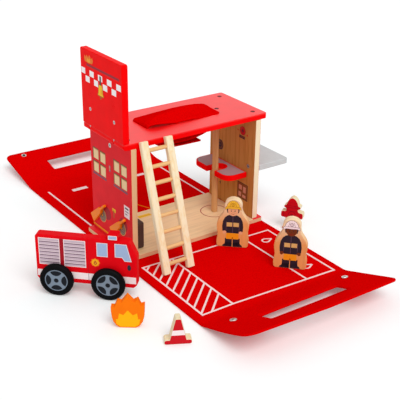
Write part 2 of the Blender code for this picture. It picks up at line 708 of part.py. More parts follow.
def make_flap(side, towards, length, slot_along, snap_along, mating, cap_side, parent):
    """Flap with rounded outer corners, a slot for the strap and two press studs."""
    near, far = towards * SEAT_GAP, towards * length
    radii = (FLAP_CORNER, FLAP_CORNER, 0, 0) if towards < 0 else (0, 0, FLAP_CORNER, FLAP_CORNER)
    outline = rounded_rectangle((MAT_LEFT, min(near, far)), (MAT_RIGHT, max(near, far)), radii, 6)
    flap = piece(side + "_flap", prism(outline, -FELT, 0), material("felt", FELT_RED, 0.95), parent)
    half_slot = STRAP_SLOT_X + STRAP_THICKNESS / 2 + FLAP_SLOT_END_ROOM
    slot = rounded_rectangle((-half_slot, towards * slot_along - FLAP_SLOT_WIDTH / 2),
                             (half_slot, towards * slot_along + FLAP_SLOT_WIDTH / 2), [SANDED_EDGE] * 4, 2)
    combine(flap, cutter(side + "_slot", prism(slot, -FELT - CUT_OVERRUN, CUT_OVERRUN), parent))
    places = [(x, towards * snap_along, 0) for x in (-SNAP_X, SNAP_X)]
    holes = [placed(rod(SNAP_POST_RADIUS + SNAP_CLEAR, -FELT - CUT_OVERRUN, CUT_OVERRUN, 16), place)
             for place in places]
    combine(flap, cutter(side + "_snap_holes", gathered(holes), parent))
    repeated((side + "_snap_left", side + "_snap_right"), snap(mating, cap_side),
             material("steel", STEEL, 0.3, 1.0), places, parent=parent)


def make_mats():
    """Both play mats with their flaps, each on an empty at its fold."""
    front = pivot("front_mat_pivot", (0, -FOLD_LINE_Y, FELT))
    make_mat("front_mat", -1, FRONT_MAT_LENGTH, front)
    front_bend = pivot("front_flap_pivot", (0, -FRONT_MAT_LENGTH, 0), (-FRONT_FLAP_RAISE, 0, 0), front)
    make_flap("front", -1, FRONT_FLAP_LENGTH, FOLD_LINE_Y - FRONT_SLOT_SETBACK, FRONT_SNAP_ALONG,
              "socket", 1, front_bend)
    back = pivot("back_mat_pivot", (0, FOLD_LINE_Y, FELT))
    make_mat("back_mat", 1, BACK_MAT_LENGTH, back)
    back_bend = pivot("back_flap_pivot", (0, BACK_MAT_LENGTH, 0), (BACK_FLAP_RAISE, 0, 0), back)
    make_flap("back", 1, BACK_FLAP_LENGTH, FOLD_LINE_Y - BACK_SLOT_SETBACK, BACK_SNAP_ALONG,
              "stud", -1, back_bend)


# Tower

def eye_places():
    """Middle of each hinge eye along Y; both leaves are alike, so their eyes lie the same way."""
    return [side * LEAF_SCREW_Y + EYE_OFFSET_Y for side in (-1, 1)]


def hinge_leaf(name, finish, eye_y, axis):
    """Angle leaf: an eye on edge in the roof's groove, and a tongue let into the tower's inner face."""
    inner = tower_inner_x() - SEAT_GAP
    root = TOWER_FOOT + SEAT_GAP
    eye = arc((0, 0), EYE_RADIUS, 180, 360, 12)
    eye += [(EYE_RADIUS, root), (inner, root), (inner, root + EYE_ROOT_HEIGHT),
            (-EYE_RADIUS, root + EYE_ROOT_HEIGHT)]
    low_y, high_y = eye_y - EYE_THICKNESS / 2, eye_y + EYE_THICKNESS / 2
    leaf = piece(name, prism(eye, low_y, high_y, "XZ"), finish, axis)
    tongue = box((inner - LEAF_THICKNESS, high_y - LEAF_WIDTH, root), (inner, high_y, root + LEAF_LENGTH))
    combine(leaf, cutter(name + "_tongue", tongue, axis), "UNION")
    bore = rod(HINGE_PIN_RADIUS + SEAT_GAP / 2, -EYE_THICKNESS, EYE_THICKNESS, 16)
    combine(leaf, cutter(name + "_bore", placed(bore, (0, eye_y, 0), (0, 1, 0)), axis))
    return leaf


def tower_inner_x():
    """Tower's inner face, from its axis."""
    return TOWER_THICKNESS - ROOF_THICKNESS / 2


def make_tower(roof):
    """Panel that stands on the roof's left edge and folds down beside the left wall."""
    axis = pivot("tower_pivot", (TOWER_AXIS_X, 0, TOWER_AXIS_Z))
    outer, inner = -ROOF_THICKNESS / 2, tower_inner_x()
    top = TOWER_FOOT + TOWER_HEIGHT
    outline = rounded_rectangle((-TOWER_DEPTH / 2, TOWER_FOOT), (TOWER_DEPTH / 2, top),
                                (0, 0, TOWER_CORNER, TOWER_CORNER), 4)
    red = material("red paint", RED_PAINT, 0.3)
    panel = piece("tower_panel", prism(outline, outer, inner, "YZ"), red, axis)
    soften(panel, SANDED_EDGE)
    steel = material("steel", STEEL, 0.3, 1.0)
    root = TOWER_FOOT + SEAT_GAP
    recesses, notches, leaves = [], [], []
    for side, eye_y in zip(SIDES, eye_places()):
        leaves.append(hinge_leaf("tower_hinge_leaf_" + side, steel, eye_y, axis))
        high_y = eye_y + EYE_THICKNESS / 2 + SEAT_GAP
        recesses.append(box((inner - LEAF_THICKNESS - 2 * SEAT_GAP, high_y - LEAF_WIDTH - 2 * SEAT_GAP,
                             TOWER_FOOT - CUT_OVERRUN),
                            (inner + CUT_OVERRUN, high_y, root + LEAF_LENGTH + SEAT_GAP)))
        notches.append(box((-EYE_RADIUS - SEAT_GAP, eye_y - EYE_THICKNESS / 2 - SEAT_GAP,
                            TOWER_FOOT - CUT_OVERRUN),
                           (inner + CUT_OVERRUN, high_y, root + EYE_ROOT_HEIGHT + SEAT_GAP)))
    combine(panel, cutter("tongue_recesses", gathered(recesses), axis))
    combine(panel, cutter("eye_notches", gathered(notches), axis))
    screw_size = (LEAF_SCREW_HEAD_RADIUS, LEAF_SCREW_HEAD_DEPTH, SCREW_SHANK_RADIUS,
                  TOWER_THICKNESS - SEAT_GAP)
    places = [(outer, y, TOWER_FOOT + LEAF_SCREW_RISE) for y in (-LEAF_SCREW_Y, LEAF_SCREW_Y)]
    repeated(["tower_screw_" + side for side in SIDES], screw(*screw_size), steel, places, (-1, 0, 0), axis)
    holes = cutter("tower_screw_holes",
                   gathered([screw_hole(*screw_size[:3], TOWER_THICKNESS + CUT_OVERRUN, place, (-1, 0, 0))
                             for place in places]), axis)
    for target in (panel, *leaves):
        combine(target, holes)
    make_plugs(panel, axis, outer)
    make_roof_grooves(roof, steel)


def make_plugs(panel, axis, outer):
    """Painted plugs over the leaves' upper fastenings."""
    places = [(outer, y, TOWER_FOOT + LEAF_PLUG_RISE) for y in (-LEAF_SCREW_Y, LEAF_SCREW_Y)]
    repeated(["tower_plug_" + side for side in SIDES], rod(PLUG_RADIUS, -PLUG_DEPTH, 0, 18),
             material("red paint", RED_PAINT, 0.3), places, (-1, 0, 0), axis)
    holes = [placed(rod(PLUG_RADIUS + SEAT_GAP, -PLUG_DEPTH - SEAT_GAP, CUT_OVERRUN, 18), place, (-1, 0, 0))
             for place in places]
    combine(panel, cutter("plug_holes", gathered(holes), axis))


def make_roof_grooves(roof, steel):
    """Grooves in the roof's rounded edge, with the steel pins that the leaves swing on."""
    half_groove = EYE_THICKNESS / 2 + SEAT_GAP
    half_pin = half_groove + HINGE_PIN_GRIP
    inner = TOWER_AXIS_X + EYE_RADIUS + SEAT_GAP
    grooves, bores = [], []
    for y in eye_places():
        grooves.append(box((-ROOF_LENGTH / 2 - CUT_OVERRUN, y - half_groove, ROOF_BOTTOM - CUT_OVERRUN),
                           (inner, y + half_groove, ROOF_TOP + CUT_OVERRUN)))
        bores.append(placed(rod(HINGE_PIN_RADIUS + SEAT_GAP, -half_pin - SEAT_GAP, half_pin + SEAT_GAP, 16),
                            (TOWER_AXIS_X, y, TOWER_AXIS_Z), (0, 1, 0)))
    combine(roof, cutter("hinge_grooves", gathered(grooves)))
    combine(roof, cutter("pin_bores", gathered(bores)))
    repeated(["tower_hinge_pin_" + side for side in SIDES], rod(HINGE_PIN_RADIUS, -half_pin, half_pin, 16),
             steel, [(TOWER_AXIS_X, y, TOWER_AXIS_Z) for y in eye_places()], (0, 1, 0))


def make_fasteners(roof, walls, pole, helipad):
    """Screws that hold the roof and the helipad, and one high on the left wall."""
    steel = material("steel", STEEL, 0.3, 1.0)
    painted = material("dark red paint", (0.30, 0.01, 0.01), 0.4)
    left_wall, right_wall = walls
    screw_y = CASE_DEPTH / 2 - ROOF_SCREW_INSET
    places = [(side * WALL_MID_X, y, ROOF_TOP) for side in (-1, 1) for y in (-screw_y, screw_y)]
    names = ["roof_screw_" + side for side in ("front_left", "back_left", "front_right", "back_right", "pole")]
    board_screws(names, painted, places + [(POLE_X, POLE_Y, ROOF_TOP)], (0, 0, 1),
                 (roof, left_wall, right_wall, pole))
    helipad_mid = HELIPAD_TOP - HELIPAD_THICKNESS / 2
    board_screws(["helipad_screw_" + side for side in SIDES], steel,
                 [(WALL_INNER_X, y, helipad_mid) for y in (HELIPAD_SCREW_INSET - CASE_DEPTH / 2,
                                                           HELIPAD_BACK_Y - HELIPAD_SCREW_INSET)],
                 (-1, 0, 0), (right_wall, helipad))
    board_screws(["wall_screw"], steel, [(-WALL_OUTER_X, 0, WALL_TOP - WALL_SCREW_DROP)], (-1, 0, 0),
                 (left_wall,), WALL_SCREW_LENGTH)


# Ladder

def make_ladder():
    """Ladder that stands on the front mat and leans on the roof's front edge."""
    lean_run = (ROOF_TOP - MAT_TOP) * math.tan(LADDER_LEAN)
    foot_y = -CASE_DEPTH / 2 - SEAT_GAP - lean_run
    middle_x = LADDER_FROM_ROOF_END - ROOF_LENGTH / 2
    stand = pivot("ladder_pivot", (middle_x, foot_y, MAT_TOP), (-LADDER_LEAN, 0, 0))
    pine = material("pine", PINE, 0.5)
    rail_mid = (LADDER_WIDTH - RAIL_WIDTH) / 2
    pitch = (LADDER_LENGTH - 2 * RUNG_END_MARGIN) / (RUNG_COUNT - 1)
    heights = [RUNG_END_MARGIN + pitch * i for i in range(RUNG_COUNT)]
    rung_half = rail_mid - RAIL_WIDTH / 2 + RUNG_SEAT
    holes = [placed(rod(RUNG_RADIUS + SEAT_GAP, -rung_half - SEAT_GAP, rung_half + SEAT_GAP, 14),
                    (0, -RAIL_DEPTH / 2, height), (1, 0, 0)) for height in heights]
    hole_cutter = cutter("rung_holes", gathered(holes), stand)
    for name, side in (("ladder_left_rail", -1), ("ladder_right_rail", 1)):
        middle = side * rail_mid
        outline = rounded_rectangle((middle - RAIL_WIDTH / 2, -RAIL_DEPTH), (middle + RAIL_WIDTH / 2, 0),
                                    [RAIL_ROUND] * 4, 3)
        rail = piece(name, prism(outline, 0, LADDER_LENGTH), pine, stand)
        soften(rail, SANDED_EDGE)
        combine(rail, hole_cutter)
    repeated([f"ladder_rung_{i + 1}" for i in range(RUNG_COUNT)], rod(RUNG_RADIUS, -rung_half, rung_half, 14),
             pine, [(0, -RAIL_DEPTH / 2, height) for height in heights], (1, 0, 0), stand)


# Fire engine

def make_truck():
    """Fire engine cut from a thick board, with four wheels on two turning axles."""
    stand = pivot("truck_pivot", (MAT_LEFT - TRUCK_FROM_MAT, TRUCK_Y, 0), (0, 0, TRUCK_HEADING))
    rear, front = -REAR_OVERHANG, WHEELBASE + FRONT_OVERHANG
    outline = ((rear + TRUCK_LOW_CUT, TRUCK_UNDERSIDE), (front - TRUCK_LOW_CUT, TRUCK_UNDERSIDE),
               (front, TRUCK_UNDERSIDE + TRUCK_LOW_CUT), (front, WINDSCREEN_FOOT),
               (front - WINDSCREEN_SETBACK, TRUCK_ROOF), (rear + TRUCK_REAR_CUT, TRUCK_ROOF),
               (rear, TRUCK_ROOF - TRUCK_REAR_CUT), (rear, TRUCK_UNDERSIDE + TRUCK_LOW_CUT))
    half = TRUCK_WIDTH / 2
    body = piece("truck_body", prism(outline, -half, half, "XZ"), material("red paint", RED_PAINT, 0.3), stand)
    soften(body, TRUCK_EDGE)
    bores = [placed(rod(AXLE_RADIUS + SEAT_GAP, -half - CUT_OVERRUN, half + CUT_OVERRUN, 18),
                    (x, 0, WHEEL_RADIUS), (0, 1, 0)) for x in (0, WHEELBASE)]
    combine(body, cutter("axle_bores", gathered(bores), stand))
    bar_low = TRUCK_ROOF + SEAT_GAP
    bar_start = front - LIGHT_BAR_SETBACK
    bar = box((bar_start, -half, bar_low), (bar_start + LIGHT_BAR_LENGTH, half, bar_low + LIGHT_BAR_HEIGHT))
    soften(piece("truck_light_bar", bar, material("red paint", RED_PAINT, 0.3), stand), LIGHT_BAR_EDGE)
    wheel_inner = half + WHEEL_SIDE_GAP
    axle_half = wheel_inner + AXLE_SEAT - SEAT_GAP
    rubber = material("tyre black", TYRE_BLACK, 0.5)
    for end, x in (("rear", 0), ("front", WHEELBASE)):
        axle_pivot = pivot("truck_" + end + "_axle_pivot", (x, 0, WHEEL_RADIUS), (0, 0, 0), stand)
        axle = placed(rod(AXLE_RADIUS, -axle_half, axle_half, 18), (0, 0, 0), (0, 1, 0))
        piece("truck_" + end + "_axle", axle, material("pine", PINE, 0.5), axle_pivot)
        for side_name, side in (("right", -1), ("left", 1)):
            shape = placed(turned(wheel_profile(), 40), (0, side * wheel_inner, 0), (0, side, 0))
            piece("truck_" + end + "_" + side_name + "_wheel", shape, rubber, axle_pivot)


def wheel_profile():
    """Wheel section with a blind axle hole inside and a shallow hub recess outside."""
    hole = AXLE_RADIUS + SEAT_GAP
    tread = WHEEL_RADIUS - WHEEL_SHOULDER
    face = WHEEL_THICKNESS - HUB_RECESS
    return ((0, AXLE_SEAT), (hole, AXLE_SEAT), (hole, 0), (tread, 0), (WHEEL_RADIUS, WHEEL_SHOULDER),
            (WHEEL_RADIUS, WHEEL_THICKNESS - WHEEL_SHOULDER), (tread, WHEEL_THICKNESS),
            (HUB_RADIUS + HUB_RECESS, WHEEL_THICKNESS), (HUB_RADIUS, face), (0, face))


# Standing pieces cut from board

def mirrored_outline(shares, width, height, steps):
    """Closed outline from one side's half widths and heights."""
    side = smooth_through([(half * width, up * height) for half, up in shares], steps)
    return side + [(-x, z) for x, z in reversed(side[:-1])]


def make_cutout(name, outline, thickness, place, turn, foot, finish, edge):
    """Board piece that stands on its lower edge, its front face towards local -Y."""
    stand = pivot(name + "_pivot", (*place, foot), (0, 0, turn))
    soften(piece(name, prism(outline, 0, thickness, "XZ"), finish, stand), edge)


def make_play_set():
    """Two firefighters on the front mat, and a hydrant, a flame and a traffic cone on the floor."""
    pine = material("pine", PINE, 0.5)
    figure = mirrored_outline(FIGURE_SHARES, FIGURE_WIDTH, FIGURE_HEIGHT, 2)
    yellow_place = (YELLOW_HELMET_X, -FOLD_LINE_Y - YELLOW_HELMET_FROM_FOLD)
    make_cutout("firefighter_yellow_helmet", figure, FIGURE_THICKNESS, yellow_place,
                YELLOW_HELMET_TURN, MAT_TOP, pine, FIGURE_EDGE)
    white_place = (WHITE_HELMET_X, -FOLD_LINE_Y - WHITE_HELMET_FROM_FOLD)
    make_cutout("firefighter_white_helmet", figure, FIGURE_THICKNESS, white_place,
                WHITE_HELMET_TURN, MAT_TOP, pine, FIGURE_EDGE)
    hydrant = mirrored_outline(HYDRANT_SHARES, HYDRANT_WIDTH, HYDRANT_HEIGHT, 2)
    hydrant_place = (MAT_RIGHT + HYDRANT_FROM_MAT, -FOLD_LINE_Y - HYDRANT_FROM_FOLD)
    make_cutout("hydrant", hydrant, HYDRANT_THICKNESS, hydrant_place, HYDRANT_TURN, 0, pine, FIGURE_EDGE)
    flame = [(x * FLAME_WIDTH, z * FLAME_HEIGHT) for x, z in FLAME_SHARES]
    make_cutout("flame", flame, FLAME_THICKNESS, FLAME_PLACE, FLAME_TURN, 0,
                material("flame orange", FLAME_ORANGE, 0.4), FLAME_EDGE)
    make_cutout("traffic_cone", cone_outline(), CONE_THICKNESS, CONE_PLACE, CONE_TURN, 0,
                material("red paint", RED_PAINT, 0.3), SANDED_EDGE)


def cone_outline():
    """Cone on a low slab with rounded ends."""
    half = CONE_SLAB_WIDTH / 2
    slab_mid = CONE_SLAB_HEIGHT - CONE_SLAB_ROUND
    right = arc((half - CONE_SLAB_ROUND, CONE_SLAB_ROUND), CONE_SLAB_ROUND, 270, 360, 4)
    right += arc((half - CONE_SLAB_ROUND, slab_mid), CONE_SLAB_ROUND, 0, 90, 4)
    right.append((CONE_FOOT_HALF_WIDTH, CONE_SLAB_HEIGHT))
    top_centre = (CONE_TOP_HALF_WIDTH - CONE_TOP_ROUND, CONE_HEIGHT - CONE_TOP_ROUND)
    right += arc(top_centre, CONE_TOP_ROUND, 15, 90, 3)
    return right + [(-x, z) for x, z in reversed(right)]


def main():
    """Clears the scene and models every piece."""
    for old in list(bpy.data.objects):
        bpy.data.objects.remove(old)
    make_felt_floor()
    make_base()
    walls = make_wall("left_wall", -1), make_wall("right_wall", 1)
    roof = make_roof()
    pole = make_pole()
    make_shelf()
    helipad = make_helipad()
    make_block()
    make_nozzles()
    make_strap()
    make_mats()
    make_tower(roof)
    make_fasteners(roof, walls, pole, helipad)
    make_ladder()
    make_truck()
    make_play_set()


main()
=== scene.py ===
"""Finish of the toy fire station: paint, bare wood, printed pictures, felt play mats and metal fasteners.

Print layouts are in millimetres and everything else is in metres. On a face that looks to the left, a
layout's first number counts from the middle of the station towards the front.
"""

import json
import math

import bmesh
import bpy
from bpy.props import FloatProperty, FloatVectorProperty, PointerProperty
from mathutils import Matrix, Vector, noise
from mathutils.geometry import delaunay_2d_cdt


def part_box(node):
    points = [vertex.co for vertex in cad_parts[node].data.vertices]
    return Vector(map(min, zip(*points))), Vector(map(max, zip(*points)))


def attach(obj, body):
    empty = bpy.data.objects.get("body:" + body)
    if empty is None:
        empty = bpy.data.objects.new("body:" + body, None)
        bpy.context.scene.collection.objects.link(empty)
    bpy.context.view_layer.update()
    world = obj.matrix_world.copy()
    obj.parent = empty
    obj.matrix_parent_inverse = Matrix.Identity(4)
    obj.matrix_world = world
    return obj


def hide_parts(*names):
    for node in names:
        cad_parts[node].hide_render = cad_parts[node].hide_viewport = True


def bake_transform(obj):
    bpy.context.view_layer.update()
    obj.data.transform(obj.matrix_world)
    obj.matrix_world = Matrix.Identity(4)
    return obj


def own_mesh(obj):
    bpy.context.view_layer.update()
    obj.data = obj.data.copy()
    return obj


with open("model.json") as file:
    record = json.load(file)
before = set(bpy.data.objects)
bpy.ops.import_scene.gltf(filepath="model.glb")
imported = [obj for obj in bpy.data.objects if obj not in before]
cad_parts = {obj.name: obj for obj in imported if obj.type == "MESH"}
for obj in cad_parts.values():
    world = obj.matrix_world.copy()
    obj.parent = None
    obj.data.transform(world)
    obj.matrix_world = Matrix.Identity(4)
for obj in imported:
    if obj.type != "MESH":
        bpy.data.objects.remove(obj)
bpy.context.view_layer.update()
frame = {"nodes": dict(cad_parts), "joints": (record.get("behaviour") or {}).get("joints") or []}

bl_info = {
    "name": "Toy fire station finish",
    "version": (1, 0, 0),
    "blender": (4, 5, 0),
    "location": "3D View > Sidebar > Fire Station",
    "description": "Paint, prints, felt and metal for a wooden toy fire station",
    "category": "Object",
}

MM = 0.001

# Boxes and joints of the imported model
ROOF_LOW, ROOF_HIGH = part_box("roof_plate")
LEFT_WALL_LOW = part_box("left_wall")[0]
RIGHT_WALL_LOW, RIGHT_WALL_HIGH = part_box("right_wall")
BASE_LOW, BASE_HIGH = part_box("base_plate")
SHELF_LOW, SHELF_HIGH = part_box("inner_shelf")
PAD_LOW, PAD_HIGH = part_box("helipad_board")
TOWER_LOW, TOWER_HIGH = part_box("tower_panel")
MAT_LOW, MAT_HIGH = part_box("felt_floor")
JOINTS = {joint["name"]: joint for joint in frame["joints"]}

# Mats: which way they run, how steeply their flaps rise, and their slots from the flap's bend as left, right,
# near and far end
SIDES = {"front": -1, "back": 1}
FLAP_RAISE = {"front": math.radians(19.0), "back": math.radians(12.5)}
FELT_SLOT = {"front": (-0.0695, 0.0663, 0.0456, 0.0718), "back": (-0.0665, 0.0665, 0.0366, 0.0690)}

# Felt: what it is short of at its ends and sides, its rounded corners, how far inside the fold its seam lies,
# how far its soft edge bulges and strays, and how near to a seam still counts as on it
FLAP_TRIM = {"front": 0.0005, "back": 0.0022}
FLAP_CORNERS = {"front": (0.0085, 0.0155), "back": (0.0105, 0.0105)}
SIDE_TRIM = 0.0005
SLOT_CORNER = 0.003
SEAM = 0.0012
SOFT_EDGE = 0.0005
EDGE_FUZZ = 0.00015
SEAM_REACH = 1e-5

# Places and turns of the pieces that stand on an edge, and the height at which the figures stand on the felt
STANDING = {"yellow": ((0.0302, -0.1066), -42), "white": ((0.060, -0.2048), -46),
            "hydrant": ((0.1460, -0.1080), -54.7), "flame": ((-0.2097, -0.2024), -36),
            "cone": ((-0.1766, -0.2695), -27.9)}
FIGURE_FOOT = MAT_HIGH[2] + 0.0003

# Sideways and upward directions of the faces that carry prints
FACES = {"left": ((0, -1, 0), (0, 0, 1)), "right": ((0, 1, 0), (0, 0, 1)), "top": ((1, 0, 0), (0, 1, 0)),
         "front": ((1, 0, 0), (0, 0, 1)), "back": ((-1, 0, 0), (0, 0, 1))}

# How far the grain is drawn out along each axis, and how deep the paint of a cut-out's front reaches
GRAIN = {"X": (0.06, 1.0, 1.0), "Z": (1.0, 1.0, 0.06)}
PAINT_DEPTH = 0.0004


def paint(name, sample, words):
    """Colour property from a paint sample in 0 to 255."""
    linear = [(c / 255 / 12.92) if c <= 10 else ((c / 255 + 0.055) / 1.055) ** 2.4 for c in sample]
    return FloatVectorProperty(name=name, description=words, subtype="COLOR", size=3, min=0, max=1,
                               default=linear)


def length(name, words, default, low, high):
    """Length property."""
    return FloatProperty(name=name, description=words, default=default, min=low, max=high, unit="LENGTH")


class FireStationPaints(bpy.types.PropertyGroup):
    """Paint, wood and felt colours."""
    gloss_red: paint("Gloss red", (252, 1, 4), "Roof and tower")
    engine_red: paint("Engine red", (226, 6, 20), "Fire engine")
    wall_red: paint("Wall red", (233, 32, 42), "Outer faces of the walls")
    felt_red: paint("Felt red", (222, 1, 2), "Play mats and strap")
    pine_light: paint("Pine, early wood", (251, 238, 204), "Light bands of the bare boards")
    pine_dark: paint("Pine, late wood", (240, 214, 164), "Dark bands of the bare boards")
    # Left wall's front edge: pale wood darkened by a painted shadow of the roof
    left_edge_shaded: paint("Board edges", (236, 196, 148), "Front edge of the left wall")
    # Inner wall colours: the wood's own tone, darkened and warmed by painted shade of the station's interior
    inner_shaded_light: paint("Inner wall, early wood", (208, 150, 82), "Light bands inside the right wall")
    inner_shaded_dark: paint("Inner wall, late wood", (186, 126, 60), "Dark bands inside the right wall")
    pole_light: paint("Pole, early wood", (220, 168, 112), "Light bands of the pole")
    pole_dark: paint("Pole, late wood", (198, 142, 88), "Dark bands of the pole")
    rung_light: paint("Rungs", (242, 194, 132), "Rungs of the ladder")
    beech_light: paint("Figure wood, head", (252, 224, 180), "Upper part of the figures")
    beech_dark: paint("Figure wood, foot", (242, 176, 104), "Lower part of the figures")
    ply_face: paint("Plywood face", (250, 218, 168), "Top of the base board")
    ply_glue: paint("Plywood layers", (176, 112, 84), "Cross layers in the base board's edge")
    pad_grey: paint("Landing grey", (202, 206, 206), "Landing board")
    locker_grey: paint("Locker grey", (84, 64, 58), "Block by the left wall")
    nozzle_yellow: paint("Nozzle orange", (252, 132, 12), "Hose nozzles")
    flame_orange: paint("Flame orange", (255, 120, 12), "Flame")
    tyre_black: paint("Tyre black", (14, 14, 16), "Wheels")
    # Darker than the roof's red: red paint on the screw heads with painted shade of their holes
    screw_red_shaded: paint("Painted screws", (120, 14, 18), "Screw heads in the roof")
    steel_grey: paint("Steel", (206, 204, 200), "Bare screws, hinge leaves and press studs")


class FireStationInks(bpy.types.PropertyGroup):
    """Colours of the printed pictures."""
    white: paint("White", (250, 232, 232), "White lines and borders")
    bright: paint("Bright white", (255, 246, 246), "White helmet and the tower's checkers")
    felt_white: paint("Mat white", (250, 222, 220), "Road lines on the felt")
    floor_grey: paint("Floor grey", (178, 148, 154), "Printed top of the upper floor")
    rail: paint("Rail", (160, 40, 54), "Rail on the tower")
    slat: paint("Slat", (202, 178, 190), "Roller shutters")
    slat_shade: paint("Slat shade", (118, 88, 108), "Shadow lines of the shutters")
    glass: paint("Glass", (160, 182, 216), "Windows of the fire engine")
    deep_red: paint("Deep red", (166, 12, 30), "Dark red details")
    print_red: paint("Print red", (205, 12, 28), "Hydrant, cone and gong")
    charcoal: paint("Charcoal", (46, 40, 52), "Coats and boots")
    brown: paint("Brown", (112, 68, 44), "Frames")
    umber: paint("Umber", (140, 82, 42), "Field of the framed plan")
    mauve: paint("Mauve", (128, 74, 92), "Window sills and margins")
    tan: paint("Tan", (222, 184, 112), "Coat stripes")
    cream: paint("Cream", (244, 210, 160), "Window panes")
    pink: paint("Pink", (214, 150, 130), "Rooms of the framed plan")
    amber: paint("Amber", (245, 165, 30), "Trousers and lamps")
    yellow: paint("Yellow", (252, 196, 26), "Bell and floor stripe")
    glow: paint("Glow", (255, 182, 0), "Heart of the flame")
    helmet_yellow: paint("Helmet yellow", (246, 200, 60), "Yellow helmet")
    ochre: paint("Ochre", (170, 104, 14), "Outlines on yellow")
    orange: paint("Orange", (240, 120, 24), "Hose")
    skin_light: paint("Light skin", (240, 182, 136), "Light face and hands")
    skin_dark: paint("Dark skin", (116, 58, 30), "Dark face and hands")
    nose_light: paint("Light skin, shade", (212, 148, 108), "Nose of the light face")
    nose_dark: paint("Dark skin, shade", (94, 44, 24), "Nose of the dark face")
    hub_grey: paint("Hub grey", (122, 136, 152), "Spokes of the wheels")
    hub_dark: paint("Hub dark", (18, 22, 30), "Openings of the wheels")
    stone: paint("Stone", (166, 140, 118), "Hose on the reels")


class FireStationSizes(bpy.types.PropertyGroup):
    """Sizes of felt, ink and stage."""
    felt_thickness: length("Felt thickness", "Thickness of the mats", 0.0027, 0.001, 0.003)
    felt_ripple: length("Felt ripple", "Unevenness of the mats", 0.00018, 0, 0.001)
    felt_cell: length("Felt cell", "Spacing of the mats' mesh", 0.005, 0.002, 0.02)
    bend_radius: length("Bend radius", "Radius of the flaps' bends", 0.028, 0.005, 0.1)
    corner_curl: length("Corner curl", "Lift of the front flap's left corner", 0.0042, 0, 0.008)
    road_line: length("Road line", "Width of the white lines on the mats", 0.0031, 0.001, 0.01)
    hatch_pitch: length("Hatch pitch", "Spacing of the hatched lane's bars", 0.017, 0.008, 0.05)
    ink_lift: length("Ink lift", "Height of each layer of ink", 0.00005, 0.00001, 0.0005)
    lens: FloatProperty(name="Lens", description="Focal length on a 36 mm sensor", default=78.0, min=20,
                        max=200, unit="CAMERA")
    sky_level: FloatProperty(name="Sky level", description="Light from all sides", default=0.64, min=0, max=3)
    key_level: FloatProperty(name="Key level", description="Strength of the main lamp", default=1.45, min=0,
                             max=10)


def colour_of(name, group="paints"):
    """Colour of a paint or an ink as the panel has it."""
    return tuple(getattr(getattr(bpy.context.scene, "fire_station_" + group), name))


def shade(colour, amount):
    """Colour made darker or lighter by a factor."""
    return tuple(min(1.0, channel * amount) for channel in colour)


# Materials

class Recipe:
    """Node material that is being mixed."""

    def __init__(self, name, roughness=0.5):
        self.material = bpy.data.materials.new(name)
        self.material.use_nodes = True
        self.tree = self.material.node_tree
        self.shader = self.tree.nodes["Principled BSDF"].inputs
        self.shader["Roughness"].default_value = roughness
        self.place = self.add("ShaderNodeTexCoord").outputs["Object"]

    def add(self, kind, inputs=None, **settings):
        """New node with its settings, and with numbers or sockets on its inputs."""
        made = self.tree.nodes.new(kind)
        for key, value in settings.items():
            setattr(made, key, value)
        for key, value in (inputs or {}).items():
            if isinstance(value, bpy.types.NodeSocket):
                self.tree.links.new(value, made.inputs[key])
            else:
                made.inputs[key].default_value = value
        return made

    def math(self, operation, first, second=0.0):
        """Result of a sum, a comparison or the like."""
        return self.add("ShaderNodeMath", {0: first, 1: second}, operation=operation).outputs[0]

    def axis(self, name):
        """One of the object coordinates."""
        return self.add("ShaderNodeSeparateXYZ", {0: self.place}).outputs[name]

    def stretched(self, scale):
        """Object coordinates scaled along X, Y and Z."""
        return self.add("ShaderNodeMapping", {"Vector": self.place, "Scale": scale}).outputs[0]

    def scaled(self, value, source=(0.0, 1.0), target=(0.0, 1.0)):
        """Value carried from one range to another."""
        return self.add("ShaderNodeMapRange", {"Value": value, "From Min": source[0], "From Max": source[1],
                                               "To Min": target[0], "To Max": target[1]}).outputs[0]

    def grains(self, vector, scale, detail=3.0, rough=0.55):
        """Noise between 0 and 1."""
        return self.add("ShaderNodeTexNoise", {"Vector": vector, "Scale": scale, "Detail": detail,
                                               "Roughness": rough}).outputs["Fac"]

    def ramp(self, factor, stops):
        """Colour ramp through (place, colour) stops."""
        made = self.add("ShaderNodeValToRGB", {"Fac": factor})
        band = made.color_ramp
        while len(band.elements) < len(stops):
            band.elements.new(0.5)
        for element, (place, colour) in zip(band.elements, stops):
            element.position = place
            element.color = (*colour, 1)
        return made.outputs["Color"]

    def mix(self, factor, first, second):
        """Blend of two colours."""
        first, second = ((*value, 1) if isinstance(value, tuple) else value for value in (first, second))
        return self.add("ShaderNodeMix", {0: factor, 6: first, 7: second}, data_type="RGBA").outputs[2]

    def clouded(self, colour, scale=45, light=1.05):
        """Sprayed colour, a little uneven."""
        clouds = self.grains(self.place, scale, 3)
        return self.ramp(clouds, ((0.25, shade(colour, 0.93)), (0.75, shade(colour, light))))

    def surface(self, colour, height, level, strength, depth=0.0003, rough=None):
        """Puts colour, relief, mirror level and a varying roughness on the shader."""
        relief = self.add("ShaderNodeBump", {"Height": height, "Strength": strength, "Distance": depth})
        self.tree.links.new(colour, self.shader["Base Color"])
        self.tree.links.new(relief.outputs[0], self.shader["Normal"])
        if rough:
            self.tree.links.new(self.scaled(height, target=rough), self.shader["Roughness"])
        self.shader["Specular IOR Level"].default_value = level
        return self.material


